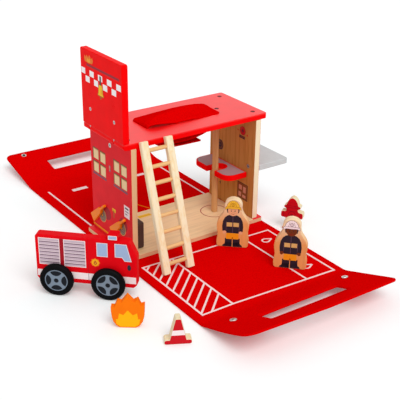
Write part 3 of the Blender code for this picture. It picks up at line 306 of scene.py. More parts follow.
def wood_colour(recipe, light, dark, grain):
    """Bands and fibres along the grain; returns the colour and the fibres."""
    along = recipe.stretched(GRAIN[grain])
    warp = recipe.grains(along, 55, 2)
    shift = recipe.add("ShaderNodeCombineXYZ", {i: recipe.math("MULTIPLY", warp, amount)
                                                for i, amount in enumerate((0.02, 0.015, 0.018))})
    bent = recipe.add("ShaderNodeVectorMath", {0: along, 1: shift.outputs[0]}, operation="ADD").outputs[0]
    rings = recipe.grains(bent, 190, 2, 0.4)
    fibres = recipe.grains(along, 1500, 4, 0.7)
    banded = recipe.ramp(rings, ((0.30, light), (0.52, shade(light, 0.96)), (0.62, dark), (0.72, light)))
    return recipe.mix(recipe.math("MULTIPLY", fibres, 0.4), banded, shade(dark, 0.9)), fibres


def bare_wood(name, light, dark, grain):
    """Sanded and clear-lacquered wood."""
    recipe = Recipe(name)
    colour, fibres = wood_colour(recipe, light, dark, grain)
    return recipe.surface(colour, fibres, 0.25, 0.12, rough=(0.4, 0.6))


def painted(name, colour, grain="X", roughness=0.4, level=0.03, polished_above=None):
    """Sprayed paint on wood: a faint grain and an even, slightly clouded colour, polished above a height."""
    recipe = Recipe(name)
    fibres = recipe.grains(recipe.stretched(GRAIN[grain]), 900, 3)
    recipe.surface(recipe.clouded(colour), fibres, level, 0.06, rough=(roughness - 0.05, roughness + 0.08))
    if polished_above is not None:
        polish = recipe.scaled(recipe.axis("Z"), (polished_above - 0.002, polished_above), (level, 0.55))
        recipe.tree.links.new(polish, recipe.shader["Specular IOR Level"])
    return recipe.material


def wall_board(name, wood, edge, beyond, limit):
    """Board with one painted face: paint beyond the limit along X, the edge wood on its front edge, else the
    given wood; on the walls some of these wood colours carry painted shade.
    """
    recipe = Recipe(name)
    bare, fibres = wood_colour(recipe, *wood, "Z")
    outer = recipe.math(beyond, recipe.axis("X"), limit)
    ahead = recipe.math("LESS_THAN", recipe.axis("Y"), LEFT_WALL_LOW[1] + 0.0005)
    pale = recipe.ramp(fibres, ((0.3, shade(edge, 0.9)), (0.7, edge)))
    colour = recipe.mix(outer, recipe.mix(ahead, bare, pale), recipe.clouded(colour_of("wall_red")))
    return recipe.surface(colour, fibres, 0.04, 0.09, rough=(0.36, 0.54))


def layered_ply(name, light, glue, margin):
    """Base board: light face, cross layers in its edges and a red margin outside the walls."""
    recipe = Recipe(name)
    low, high = BASE_LOW[2], BASE_HIGH[2]
    wood, fibres = wood_colour(recipe, light, shade(light, 0.86), "X")
    height = recipe.axis("Z")
    greys = ((0.0, 1), (0.30, 0), (0.40, 1), (0.58, 0), (0.66, 1), (0.90, 0.2), (0.97, 0))
    layers = recipe.ramp(recipe.scaled(height, (low, high)), [(place, (grey,) * 3) for place, grey in greys])
    layered = recipe.mix(recipe.math("MULTIPLY", layers, 0.35), wood, glue)
    top = recipe.math("GREATER_THAN", height, high - 0.0006)
    outside = recipe.math("GREATER_THAN", recipe.math("ABSOLUTE", recipe.axis("X")), RIGHT_WALL_LOW[0])
    colour = recipe.mix(recipe.math("MULTIPLY", top, outside), layered, margin)
    return recipe.surface(colour, fibres, 0.15, 0.12, rough=(0.4, 0.6))


def felt(name):
    """Pressed wool: matted fibres and small pills, without gloss."""
    recipe = Recipe(name, 0.95)
    colour = colour_of("felt_red")
    dull = shade(colour, 0.76)
    wisps = recipe.grains(recipe.stretched((1.0, 0.55, 1.0)), 620, 4, 0.7)
    pills = recipe.grains(recipe.place, 1900, 3, 0.6)
    clouds = recipe.grains(recipe.place, 22, 3)
    matted = recipe.ramp(wisps, ((0.28, dull), (0.5, colour), (0.74, shade(colour, 1.14))))
    height = recipe.math("ADD", recipe.math("MULTIPLY", wisps, 0.7), recipe.math("MULTIPLY", pills, 0.3))
    return recipe.surface(recipe.mix(recipe.math("MULTIPLY", clouds, 0.3), matted, dull), height, 0.0, 0.5,
                          0.0006)


def ink_of(name, cloth=False):
    """Ink, mixed once: thin and slightly broken on felt, even on wood."""
    title = name + (" on felt" if cloth else " ink")
    if title in bpy.data.materials:
        return bpy.data.materials[title]
    colour = colour_of(name, "inks")
    roughness, scale, dark, strength, level = ((0.9, 1300, 0.84, 0.35, 0.0) if cloth
                                               else (0.45, 700, 0.94, 0.05, 0.12))
    recipe = Recipe(title, roughness)
    specks = recipe.grains(recipe.place, scale, 3, 0.6)
    broken = recipe.ramp(specks, ((0.3, shade(colour, dark)), (0.6, colour)))
    return recipe.surface(broken, specks, level, strength, 0.0004)


def front_painted(name, light, piece):
    """Cut-out of bare wood whose front face is painted red."""
    recipe = Recipe(name)
    (x, y), turn = STANDING[piece]
    bare, fibres = wood_colour(recipe, light, colour_of("pine_dark"), "Z")
    ahead = (math.sin(math.radians(turn)), -math.cos(math.radians(turn)), 0)
    depth = recipe.add("ShaderNodeVectorMath", {0: recipe.place, 1: ahead}, operation="DOT_PRODUCT")
    front = recipe.math("GREATER_THAN", depth.outputs["Value"], x * ahead[0] + y * ahead[1] - PAINT_DEPTH)
    coated = recipe.clouded(colour_of("print_red", "inks"), 60, 1.04)
    return recipe.surface(recipe.mix(front, bare, coated), fibres, 0.12, 0.09, rough=(0.36, 0.54))


def graded_wood(name, head, foot, low, high):
    """Figure wood: pale at the head and warmer towards the foot."""
    recipe = Recipe(name)
    upper, fibres = wood_colour(recipe, head, shade(head, 0.9), "Z")
    lower = wood_colour(recipe, foot, shade(foot, 0.9), "Z")[0]
    colour = recipe.mix(recipe.scaled(recipe.axis("Z"), (low, high)), lower, upper)
    return recipe.surface(colour, fibres, 0.2, 0.1, rough=(0.4, 0.58))


def metal(name, crown=None, hollow_shade_radius=0.0):
    """Turned and lightly brushed steel, with painted shade: near black within a radius round a stud's crown,
    where the socket's opening lies.
    """
    recipe = Recipe(name)
    colour = colour_of("steel_grey")
    scratches = recipe.grains(recipe.stretched((1, 1, 0.2)), 2600, 2)
    brushed = recipe.ramp(scratches, ((0.2, shade(colour, 0.8)), (0.8, colour)))
    if crown is not None:
        away = recipe.add("ShaderNodeVectorMath", {0: recipe.place, 1: crown}, operation="DISTANCE")
        rim = recipe.scaled(away.outputs["Value"], (hollow_shade_radius * 0.9, hollow_shade_radius * 1.1))
        brushed = recipe.mix(rim, shade(colour, 0.06), brushed)
    recipe.shader["Metallic"].default_value = 1.0
    return recipe.surface(brushed, scratches, 0.5, 0.05, 0.0001, (0.24, 0.42))


def dress(finish, *nodes):
    """Gives carried-over boards their finish."""
    for node in nodes:
        target = frame["nodes"][node]
        target.data.materials.clear()
        target.data.materials.append(finish)


# Flat prints

def axes(first, second, third, origin):
    """Matrix from three axes and an origin."""
    return Matrix.Translation(origin) @ Matrix((first, second, third)).transposed().to_4x4()


def face(side, x=0.0, y=0.0, z=0.0):
    """Matrix from a layout in millimetres to a face that looks to a side."""
    across, up = (Vector(axis) for axis in FACES[side])
    return axes(across, up, across.cross(up), (x, y, z))


def standing_face(piece, foot=0.0):
    """Front face of a piece that stands on its edge."""
    place, turn = STANDING[piece]
    return Matrix.Translation((*place, foot)) @ Matrix.Rotation(math.radians(turn), 4, "Z") @ face("front")


def rect(x0, y0, x1, y1):
    """Plain rectangle."""
    return [(x0, y0), (x1, y0), (x1, y1), (x0, y1)]


def arc(x, y, radius, start, turn, steps, radius_y=None):
    """Points on a circle or an ellipse, from a start angle through a turn in degrees."""
    angles = [math.radians(start + turn * i / steps) for i in range(steps + 1)]
    return [(x + radius * math.cos(a), y + (radius_y or radius) * math.sin(a)) for a in angles]


def oval(x, y, radius, radius_y=None, steps=28):
    """Circle or ellipse."""
    return arc(x, y, radius, 0, 360, steps, radius_y)[:-1]


def turned(outline, degrees, x=0.0, y=0.0, size=1.0):
    """Outline turned about its origin, scaled and moved to a place."""
    c, s = size * math.cos(math.radians(degrees)), size * math.sin(math.radians(degrees))
    return [(x + u * c - v * s, y + u * s + v * c) for u, v in outline]


def signed_area(outline):
    """Positive where an outline runs anticlockwise."""
    return 0.5 * sum(a[0] * b[1] - b[0] * a[1] for a, b in zip(outline, outline[1:] + outline[:1]))


def grown(outline, amount):
    """Outline moved outwards, or inwards where the amount is negative."""
    sign = 1 if signed_area(outline) > 0 else -1
    moved = []
    for i, point in enumerate(outline):
        here = Vector(point)
        before = (here - Vector(outline[i - 1])).normalized()
        after = (Vector(outline[(i + 1) % len(outline)]) - here).normalized()
        normal = Vector((before.y + after.y, -before.x - after.x)) * sign
        reach = normal.normalized() * amount / max(0.35, math.sqrt(max(0.0, (1 + before.dot(after)) / 2)))
        moved.append(tuple(here + reach))
    return moved


def mirrored(side):
    """Closed outline from its right side, given from bottom to top."""
    return side + [(-x, y) for x, y in reversed(side) if x]


def stroke(points, width, closed=False):
    """Quads along a line of points."""
    line = [Vector(point) for point in points]
    count = len(line)
    rims = []
    for i, here in enumerate(line):
        before = line[i - 1] if (i or closed) else here
        after = line[(i + 1) % count] if (i < count - 1 or closed) else here
        first = (here - before).normalized() if here != before else (after - here).normalized()
        second = (after - here).normalized() if here != after else first
        normal = Vector((-first.y - second.y, first.x + second.x)).normalized()
        offset = normal * width / 2 / max(0.4, normal.dot(Vector((-first.y, first.x))))
        rims.append((tuple(here - offset), tuple(here + offset)))
    pairs = zip(rims, rims[1:] + rims[:1] if closed else rims[1:])
    return [[low, next_low, next_high, high] for (low, high), (next_low, next_high) in pairs]


def flat(level, ink, *outlines):
    """Outlines of one ink on one level."""
    return [(level, ink, outline) for outline in outlines]


def discs(x, y, *rings):
    """Circles about one middle, each with its level, ink and radius."""
    return [(level, ink, oval(x, y, radius)) for level, ink, radius in rings]


def drop_outline(x, y, size, turn):
    """Drop with a pointed end."""
    side = [(0, -0.5), (0.2, -0.46), (0.34, -0.3), (0.38, -0.1), (0.3, 0.12), (0.16, 0.32), (0.04, 0.6)]
    return turned(mirrored(side), turn, x, y, size)


def lay_print(name, body, matrix, layers):
    """Prints (level, ink, outline) shapes on a face; each level lies a hair above the one before."""
    lift = bpy.context.scene.fire_station_sizes.ink_lift
    shape = bmesh.new()
    inks = list(dict.fromkeys(ink for _, ink, _ in layers))
    for level, ink, outline in layers:
        ordered = outline if signed_area(outline) > 0 else list(reversed(outline))
        corners = [shape.verts.new(matrix @ Vector((u * MM, v * MM, lift * (level + 1)))) for u, v in ordered]
        shape.faces.new(corners).material_index = inks.index(ink)
    return finish_piece(name, shape, [ink_of(ink) for ink in inks], body)


def finish_piece(name, shape, materials, body, smooth=False):
    """Object from a bmesh that rides on a body."""
    mesh = bpy.data.meshes.new(name)
    shape.to_mesh(mesh)
    shape.free()
    for each in materials:
        mesh.materials.append(each)
    if smooth:
        mesh.shade_smooth()
    made = bpy.data.objects.new(name, mesh)
    bpy.context.scene.collection.objects.link(made)
    if body:
        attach(made, body)
    return made


# Felt

class Mat:
    """Course of one play mat, from under the base to the end of its flap."""

    def __init__(self, name):
        sizes = bpy.context.scene.fire_station_sizes
        fold = JOINTS[name + "_mat_fold"]["pos_m"]
        bend_y = abs(JOINTS[name + "_flap_fold"]["pos_m"][1])
        self.name = name
        self.side = SIDES[name]
        self.fold_y = abs(fold[1])
        self.top = fold[2]
        self.length = bend_y - self.fold_y
        self.raise_angle = FLAP_RAISE[name]
        reach = max(abs(corner[1]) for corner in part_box(name + "_flap")) - bend_y
        self.end = self.length + reach / math.cos(self.raise_angle)
        self.radius = sizes.bend_radius
        self.start = self.length - self.radius * math.tan(self.raise_angle / 2)
        self.thickness = sizes.felt_thickness
        self.ripple = sizes.felt_ripple
        self.curl = sizes.corner_curl if name == "front" else 0.0

    def course(self, s):
        """Distance from the fold, height and slope of the felt's top at a length along it."""
        if s <= self.start:
            return s, 0.0, 0.0
        slope = min((s - self.start) / self.radius, self.raise_angle)
        out = self.start + self.radius * math.sin(slope)
        up = self.radius * (1 - math.cos(slope))
        rest = s - self.start - self.radius * slope
        return out + rest * math.cos(slope), up + rest * math.sin(slope), slope

    def point(self, x, s, height):
        """Point of the felt, height above its top side."""
        out, up, slope = self.course(s)
        wave = noise.noise(Vector((x * 16, s * 16, self.side * 3.1))) * self.ripple
        flat_part = self.length + 0.035
        lifted = max(0.0, (s - flat_part) / (self.end - flat_part))
        wave += self.curl * max(0.0, -x / MAT_HIGH[0]) * lifted ** 2
        out -= math.sin(slope) * (height + wave)
        up += math.cos(slope) * (height + wave)
        return Vector((x, self.side * (self.fold_y + out), self.top + up))


def inside(point, loop):
    """Whether a point lies inside a closed loop."""
    crossings = False
    x, y = point
    for (x0, y0), (x1, y1) in zip(loop, loop[1:] + loop[:1]):
        if (y0 > y) != (y1 > y) and x < (x1 - x0) * (y - y0) / (y1 - y0) + x0:
            crossings = not crossings
    return crossings


def resampled(loop, spacing):
    """Loop with points no further apart than the spacing."""
    dense = []
    for a, b in zip(loop, loop[1:] + loop[:1]):
        count = max(1, math.ceil(math.dist(a, b) / spacing))
        dense += [(a[0] + (b[0] - a[0]) * i / count, a[1] + (b[1] - a[1]) * i / count) for i in range(count)]
    return dense


def felt_sheet(loops, place, thickness, cell, seams):
    """Closed felt with soft edges, cut to the first loop, pierced by the others and square at its seams."""
    dense = [resampled(loop, cell) for loop in loops]

    def covered(spot):
        return inside(spot, dense[0]) and not any(inside(spot, hole) for hole in dense[1:])

    def on_seam(*spots):
        return any(all(abs(spot[1] - seam) < SEAM_REACH for spot in spots) for seam in seams)

    points, edges, starts = [], [], []
    for loop in dense:
        starts.append(len(points))
        points += [Vector(p) for p in loop]
        edges += [(starts[-1] + i, starts[-1] + (i + 1) % len(loop)) for i in range(len(loop))]
    rim = points[:]
    (low_x, high_x), (low_y, high_y) = ((min(axis), max(axis)) for axis in zip(*dense[0]))
    for i in range(int((high_x - low_x) / cell)):
        for j in range(int((high_y - low_y) / cell)):
            spot = Vector((low_x + (i + 0.5) * cell, low_y + (j + 0.5) * cell))
            if covered(spot) and min((spot - p).length_squared for p in rim) > (cell * 0.45) ** 2:
                points.append(spot)
    plan, _, faces = delaunay_2d_cdt(points, edges, [], 0, 1e-6)[:3]
    shape = bmesh.new()
    tops = [shape.verts.new(place(p.x, p.y, 0)) for p in plan]
    lows = [shape.verts.new(place(p.x, p.y, -thickness)) for p in plan]
    for corners in faces:
        if covered(sum((plan[i] for i in corners), Vector((0, 0))) / 3):
            shape.faces.new([tops[i] for i in corners])
            shape.faces.new([lows[i] for i in reversed(corners)])
    for first, loop in zip(starts, dense):
        rows = [tops[first:first + len(loop)]]
        for share in (0.3, 0.7):
            row = []
            for (x, y), own in zip(grown(loop, -SOFT_EDGE if first else SOFT_EDGE), loop):
                fuzz = noise.noise(Vector((x * 700, y * 700, share))) * EDGE_FUZZ
                spot = own if on_seam(own) else (x + fuzz, y - fuzz)
                row.append(shape.verts.new(place(*spot, -thickness * share)))
            rows.append(row)
        rows.append(lows[first:first + len(loop)])
        for upper, lower in zip(rows, rows[1:]):
            for i in range(len(loop)):
                j = (i + 1) % len(loop)
                made = shape.faces.new((upper[i], upper[j], lower[j], lower[i]))
                if on_seam(loop[i], loop[j]):
                    for edge in made.edges:
                        edge.smooth = False
    return cleaned(shape)


def cleaned(shape):
    """Drops loose points and turns the faces outwards."""
    bmesh.ops.delete(shape, geom=[v for v in shape.verts if not v.link_faces], context="VERTS")
    bmesh.ops.recalc_face_normals(shape, faces=shape.faces)
    return shape


def rounded_rect(x0, y0, x1, y1, *radii):
    """Rectangle whose corners, from lower left round to upper left, are rounded."""
    loop = []
    corners = ((x0, y0, 1, 1, 180), (x1, y0, -1, 1, 270), (x1, y1, -1, -1, 0), (x0, y1, 1, -1, 90))
    for (x, y, inward, up, start), radius in zip(corners, radii):
        loop += arc(x + inward * radius, y + up * radius, radius, start, 90, 6) if radius else [(x, y)]
    return loop


def make_felt():
    """Felt floor, both mats and both flaps, which bend where the case folds."""
    cell = bpy.context.scene.fire_station_sizes.felt_cell
    wool = [felt("red wool felt")]
    left, right = MAT_LOW[0] + SIDE_TRIM, MAT_HIGH[0] - SIDE_TRIM
    for name, side in SIDES.items():
        mat = Mat(name)
        near, far = -SEAM, mat.start - 0.004
        shape = felt_sheet([rect(left, near, right, far)], mat.point, mat.thickness, cell, (near, far))
        sheet = finish_piece(name + "_play_felt", shape, wool, None, True)
        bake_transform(sheet)
        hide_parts(name + "_mat")
        make_flap(mat, far, left, right, cell, wool)
    high = mat.fold_y - SEAM
    under = felt_sheet([rect(left, -high, right, high)], lambda x, y, up: Vector((x, y, MAT_HIGH[2] + up)),
                       mat.thickness, cell * 2, (-high, high))
    floor = finish_piece("station_felt", under, wool, "station", True)
    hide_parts("felt_floor")


def make_flap(mat, start, left, right, cell, wool):
    """Flap with rounded corners and its slot."""
    end = mat.end - FLAP_TRIM[mat.name]
    slot_left, slot_right, slot_near, slot_far = FELT_SLOT[mat.name]
    loops = [rounded_rect(left, start, right, end, 0, 0, *FLAP_CORNERS[mat.name]),
             rounded_rect(slot_left, mat.length + slot_near, slot_right, mat.length + slot_far,
                          *[SLOT_CORNER] * 4)]
    shape = felt_sheet(loops, mat.point, mat.thickness, cell, (start,))
    sheet = finish_piece(mat.name + "_flap_felt", shape, wool, None, True)
    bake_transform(sheet)
    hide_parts(mat.name + "_flap")


def felt_print(name, mat, shapes):
    """Ink on a mat: its edges wander a little and it follows the felt."""
    lift = bpy.context.scene.fire_station_sizes.ink_lift * 3
    shape = bmesh.new()
    inks = list(dict.fromkeys(ink for ink, _ in shapes))
    for ink, quad in shapes:
        corners = []
        for x, s in resampled(quad, 4.0):
            wobble = noise.noise(Vector((x * 0.9, s * 0.9, 0.4))) * 0.16
            corners.append(shape.verts.new(mat.point((x + wobble) * MM, (s + wobble) * MM, lift)))
        shape.faces.new(corners).material_index = inks.index(ink)
    bmesh.ops.recalc_face_normals(shape, faces=shape.faces)
    for each in shape.faces:
        if each.normal.z < 0:
            each.normal_flip()
    return finish_piece(name, shape, [ink_of(ink, True) for ink in inks], mat.name + "_mat")


def make_road_lines():
    """Road markings on both mats, laid out from the middle of the station."""
    sizes = bpy.context.scene.fire_station_sizes
    width, pitch = sizes.road_line / MM, sizes.hatch_pitch / MM
    front, back = Mat("front"), Mat("back")
    fold = front.fold_y / MM
    left, right, hatch, lane = -115.2, 111.6, -65.4, 61.6

    def near(x):
        return 85.4 + 7.0 * (x - left) / (right - left) - fold

    def far(x):
        return 235.6 + 8.2 * max(0.0, (x - hatch) / (right - hatch)) - fold

    quads = stroke([(left, near(left)), (right, near(right)), (right, far(right)), (hatch, far(hatch)),
                    (left, far(left))], width, True)
    for x in (hatch, lane):
        quads += stroke([(x, near(x)), (x, far(x))], width)
    bars, first_bar, rise, shortest = 10, 96.2, 45.8, 6
    slope = rise / (hatch - left)
    for i in range(bars):
        low = first_bar - fold + pitch * i
        ends = []
        for x, s in ((left, low), (hatch, low - rise)):
            kept = min(max(s, near(left)), far(hatch))
            ends.append((x + (s - kept) / slope, kept))
        if ends[0][1] - ends[1][1] > shortest:
            quads += stroke(ends, width * 0.92)
    for x, y in ((88.4, 118.0 - fold), (86.6, 213.6 - fold)):
        quads += stroke(drop_outline(x, y, 14.5, -90), 2.6, True)
    felt_print("front_mat_lines", front, [("felt_white", quad) for quad in quads])
    fold = back.fold_y / MM
    quads = stroke([(-112.3, 71 - fold), (-112.3, 226 - fold)], width)
    quads += stroke([(107, 64 - fold), (107, 226 - fold)], width)
    quads += [rect(-75, 204 - fold, -47, 213 - fold), rect(50, 200 - fold, 66, 208 - fold)]
    shapes = [("felt_white", quad) for quad in quads]
    shapes += [("orange", quad) for quad in stroke([(-11.7, 100.6 - fold), (-1.2, 75.4 - fold)], 2.6)]
    felt_print("back_mat_lines", back, shapes)


# Strap

def catmull(points, steps):
    """Smooth curve through a row of points."""
    row = [points[0]] + list(points) + [points[-1]]
    curve = []
    for a, b, c, d in zip(row, row[1:], row[2:], row[3:]):
        for i in range(steps):
            t = i / steps
            curve.append(tuple(0.5 * (2 * q + (r - p) * t + (2 * p - 5 * q + 4 * r - s) * t ** 2
                                      + (3 * q - p - 3 * r + s) * t ** 3) for p, q, r, s in zip(a, b, c, d)))
    return curve + [tuple(points[-1])]


def make_strap():
    """Felt strap that arches over the roof, with two tails that overlap under it."""
    slot_x, arch, low_tail, high_tail = 0.063, 0.0145, 0.0285, 0.023
    roof_low, roof_top = ROOF_LOW[2], ROOF_HIGH[2]
    lower = ((0.48, 1.02), (0.22, 1.01), (-0.05, 1.0), (-0.33, 0.965), (-0.60, 0.84), (-0.82, 0.58),
             (-0.97, 0.28), (-1.0, 0.09), (-1.0, 0.0))
    over = ((-1.0, 0.0), (-1.0, 0.13), (-0.975, 0.36), (-0.87, 0.64), (-0.62, 0.87), (-0.30, 0.97),
            (0.0, 1.0), (0.30, 0.96), (0.60, 0.83), (0.82, 0.60), (0.94, 0.34), (0.99, 0.12), (1.0, 0.0))
    upper = ((1.0, 0.0), (1.0, 0.10), (0.96, 0.28), (0.84, 0.52), (0.62, 0.75), (0.36, 0.92), (0.05, 1.0),
             (-0.32, 0.98))
    path = []
    for shares, level, reach in ((lower, roof_low, -low_tail), (over, roof_top, arch),
                                 (upper, roof_low, -high_tail)):
        path += [(slot_x * x, level + reach * z) for x, z in shares]
    rows, half_width, thickness = 28, 0.0203, 0.0022
    narrowing, lean, lip_lean, ripple_height, crease_depth = 0.06, 0.0025, 0.003, 0.0004, 0.0017
    grid = []
    for x, z in catmull(path, 4):
        rise = min(max((z - roof_top) / arch, 0.0), 1.0)
        lift = rise * rise * (3 - 2 * rise)
        fold = -0.85 + 1.2 * (x + slot_x) / (2 * slot_x)
        line = []
        for j in range(rows + 1):
            across = 2 * j / rows - 1
            lip, fall = folded_edge(across, fold)
            crease = math.exp(-((across - fold + 0.04) / 0.12) ** 2)
            ripple = ripple_height * math.sin(across * 5 + x * 60) - crease_depth * crease
            y = across * half_width * (1 - narrowing * lift) - (lean + lip_lean * lip) * lift
            line.append(Vector((x, y, z + (ripple - fall) * lift)))
        grid.append(line)
    for line, pinking in ((grid[0], 0.0012), (grid[-1], -0.0012)):
        for point in line[1::2]:
            point.x += pinking
    wool = [felt("strap felt")]
    strap = finish_piece("strap_felt", strip_solid(grid, thickness), wool, "station", True)
    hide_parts("carry_handle")
    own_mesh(strap)


def folded_edge(across, fold):
    """Share of the strap's front lip at a place across it, and how far the felt falls there."""
    back_fall, step_fall, lip_fall = 0.0075, 0.0035, 0.0095
    if across > fold:
        return 0.0, back_fall * ((across - fold) / (1 - fold)) ** 1.6
    lip = (fold - across) / (fold + 1)
    step = min(lip / 0.25, 1.0)
    return lip, (step_fall * step * step * (3 - 2 * step) + lip_fall * lip) * min(1.0, (fold + 1) / 0.6)


def strip_solid(grid, thickness):
    """Closed strip of an even thickness round a grid of points, with soft edges."""
    shape = bmesh.new()
    rows, last = len(grid[0]) - 1, len(grid) - 1
    skins = []
    for share in (0.5, 0.28, -0.28, -0.5):
        skin = []
        for i, row in enumerate(grid):
            before, after = grid[max(i - 1, 0)], grid[min(i + 1, last)]
            line = []
            for j, point in enumerate(row):
                along = after[j] - before[j]
                sideways = row[min(j + 1, rows)] - row[max(j - 1, 0)]
                out = point + along.cross(sideways).normalized() * thickness * share
                if abs(share) < 0.4 and j in (0, rows):
                    out += sideways.normalized() * (SOFT_EDGE if j else -SOFT_EDGE)
                line.append(shape.verts.new(out))
            skin.append(line)
        skins.append(skin)
    top, low = skins[0], skins[3]
    for i in range(last):
        for j in range(rows):
            shape.faces.new((top[i][j], top[i + 1][j], top[i + 1][j + 1], top[i][j + 1]))
            shape.faces.new((low[i][j], low[i][j + 1], low[i + 1][j + 1], low[i + 1][j]))
    for above, below in zip(skins, skins[1:]):
        for j in (0, rows):
            for i in range(last):
                shape.faces.new((above[i][j], below[i][j], below[i + 1][j], above[i + 1][j]))
        for i in (0, last):
            for j in range(rows):
                shape.faces.new((above[i][j], above[i][j + 1], below[i][j + 1], below[i][j]))
    return cleaned(shape)


# Case boards

def dress_case():
    """Paint and bare wood of the boards."""
    pine_light = colour_of("pine_light")
    red, roof_top = colour_of("gloss_red"), ROOF_HIGH[2] - 0.0003
    dress(painted("roof red paint", red, "X", 0.3, 0.03, roof_top), "roof_plate")
    dress(painted("shelf red paint", red), "inner_shelf")
    # The left wall's front edge colour carries a painted shadow of the roof
    dress(wall_board("left wall", (pine_light, colour_of("pine_dark")), colour_of("left_edge_shaded"), "LESS_THAN",
                     LEFT_WALL_LOW[0] + 0.0006), "left_wall")
    # Right wall: its inner face's wood colours carry painted shade of the interior; its front edge is plain
    # pale pine
    dress(wall_board("right wall", (colour_of("inner_shaded_light"), colour_of("inner_shaded_dark")), pine_light,
                     "GREATER_THAN", RIGHT_WALL_HIGH[0] - 0.0006), "right_wall")
    dress(layered_ply("base plywood", colour_of("ply_face"), colour_of("ply_glue"), colour_of("wall_red")),
          "base_plate")
    dress(bare_wood("pole wood", colour_of("pole_light"), colour_of("pole_dark"), "Z"), "fire_pole")
    dress(painted("landing grey paint", colour_of("pad_grey"), "X", 0.45), "helipad_board")
    dress(painted("locker paint", colour_of("locker_grey"), "Z"), "locker_block")
    dress(painted("nozzle paint", colour_of("nozzle_yellow"), "Z", 0.35, 0.12), "hose_nozzle_front",
          "hose_nozzle_back")
    outline = shelf_outline()
    lay_print("upper_floor_print", "station", face("top", z=SHELF_HIGH[2]),
              flat(0, "mauve", grown(outline, -1.9)) + flat(1, "floor_grey", grown(outline, -2.3)))
    lay_print("ground_floor_print", "station", face("top", z=BASE_HIGH[2]), floor_layers())
    left, right, back = PAD_LOW[0] / MM + 1.4, PAD_HIGH[0] / MM - 1.4, PAD_HIGH[1] / MM
    lay_print("landing_board_print", "station", face("top", z=PAD_HIGH[2]),
              flat(0, "slat_shade", rect(left, back - 2.6, right, back - 1.9)))


def shelf_outline():
    """Plan of the upper floor with its rounded corners and the notch for the pole, in millimetres."""
    left, low, right, high = (value / MM for value in (*SHELF_LOW[:2], *SHELF_HIGH[:2]))
    notch_x, notch_y, notch, corner = 84.0, 2.5, 11.0, 16.0
    return [(right, low), (right, high), *arc(left + corner, high - corner, corner, 90, 90, 6),
            (left, notch_y + notch), *arc(notch_x, notch_y, notch, 90, -180, 12), (left, notch_y - notch),
            *arc(left + corner, low + corner, corner, 180, 90, 6)]


def floor_layers():
    """Ring round the pole, in twelve pieces, and a stripe on the ground floor."""
    x, y = ((low + high) / 2 / MM for low, high in list(zip(*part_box("fire_pole")))[:2])
    layers = []
    for start in range(0, 360, 30):
        layers += flat(0, "deep_red", arc(x, y, 22.8, start, 30, 4) + arc(x, y, 21.4, start, 30, 4)[::-1])
    return layers + flat(0, "yellow", rect(-43, 41, -20, 49.5)) + flat(1, "ochre", rect(-43, 44.6, -20, 45.4))


def window_layers(left, low, right, high):
    """Window of four panes on the bare paint, with a sill."""
    layers = flat(0, "mauve", rect(left - 1, low - 4.8, right + 1, low - 1.6))
    layers += flat(1, "slat_shade", rect(left - 1, low - 2.4, right + 1, low - 1.6))
    half_bar = 1.75
    middle_u, middle_v = (left + right) / 2, (low + high) / 2
    for u0, u1 in ((left, middle_u - half_bar), (middle_u + half_bar, right)):
        for v0, v1 in ((low, middle_v - half_bar), (middle_v + half_bar, high)):
            layers += [(0, "brown", rect(u0, v0, u1, v1)),
                       (1, "tan", rect(u0 + 1.8, v0 + 0.4, u1 - 0.4, v1 - 1.8)),
                       (2, "cream", rect(u0 + 3.2, v0 + 0.4, u1 - 0.4, v1 - 3.2))]
    return layers


def reel_layers(u, v):
    """Round hose reel with a light rim and a wound hose."""
    layers = discs(u, v, (1, "tan", 11), (2, "brown", 10))
    for level, radius in ((3, 8.8), (5, 6.6), (7, 4.4)):
        layers += discs(u, v, (level, "stone", radius), (level + 1, "charcoal", radius - 1.3))
    return layers + discs(u, v, (9, "amber", 1.8))


def print_walls():
    """Windows, reels, hose and notices on the walls."""
    layers = window_layers(-51.8, 108, -14, 147) + window_layers(9.2, 109, 46.8, 147.3)
    # Dark red ovals up and to the right of the reels: painted shadow on the wall
    layers += flat(0, "deep_red", oval(-15, 50, 12, 10.5), oval(33, 50, 12, 10.5))
    layers += reel_layers(-29, 41) + reel_layers(29, 43)
    layers += flat(0, "slat_shade", rect(-4.2, 122.6, 0.2, 132.6))
    layers += flat(1, "pink", rect(-3.6, 123.8, -0.8, 131.4)) + flat(2, "orange", oval(-2.1, 127, 1.3))
    layers += flat(0, "white", rect(36.7, 66, 52, 85))
    layers += flat(1, "charcoal", rect(39.5, 79.6, 49.2, 82))
    layers += flat(1, "slat_shade", rect(39.5, 75.2, 49.2, 76.6), rect(39.5, 70.8, 46, 72.2))
    layers += flat(0, "ochre", rect(5.0, 51, 7.4, 63)) + flat(0, "yellow", rect(1.6, 60.8, 11.6, 66))
    layers += flat(1, "amber", rect(1.6, 60.8, 4.4, 66)) + flat(0, "orange", rect(-60, 14.6, -13, 18.6))
    layers += flat(1, "yellow", rect(-60, 16.6, -13, 17.4))
    edge = 58.4
    kept = [(level, ink, [(min(max(u, -edge), edge), v) for u, v in outline])
            for level, ink, outline in layers]
    lay_print("left_wall_print", "station", face("left", LEFT_WALL_LOW[0]), kept)
    lay_print("right_wall_print", "station", face("right", RIGHT_WALL_HIGH[0]),
              window_layers(-51.8, 112, -14, 151) + window_layers(9.2, 112, 46.8, 151))
    print_inner_wall()


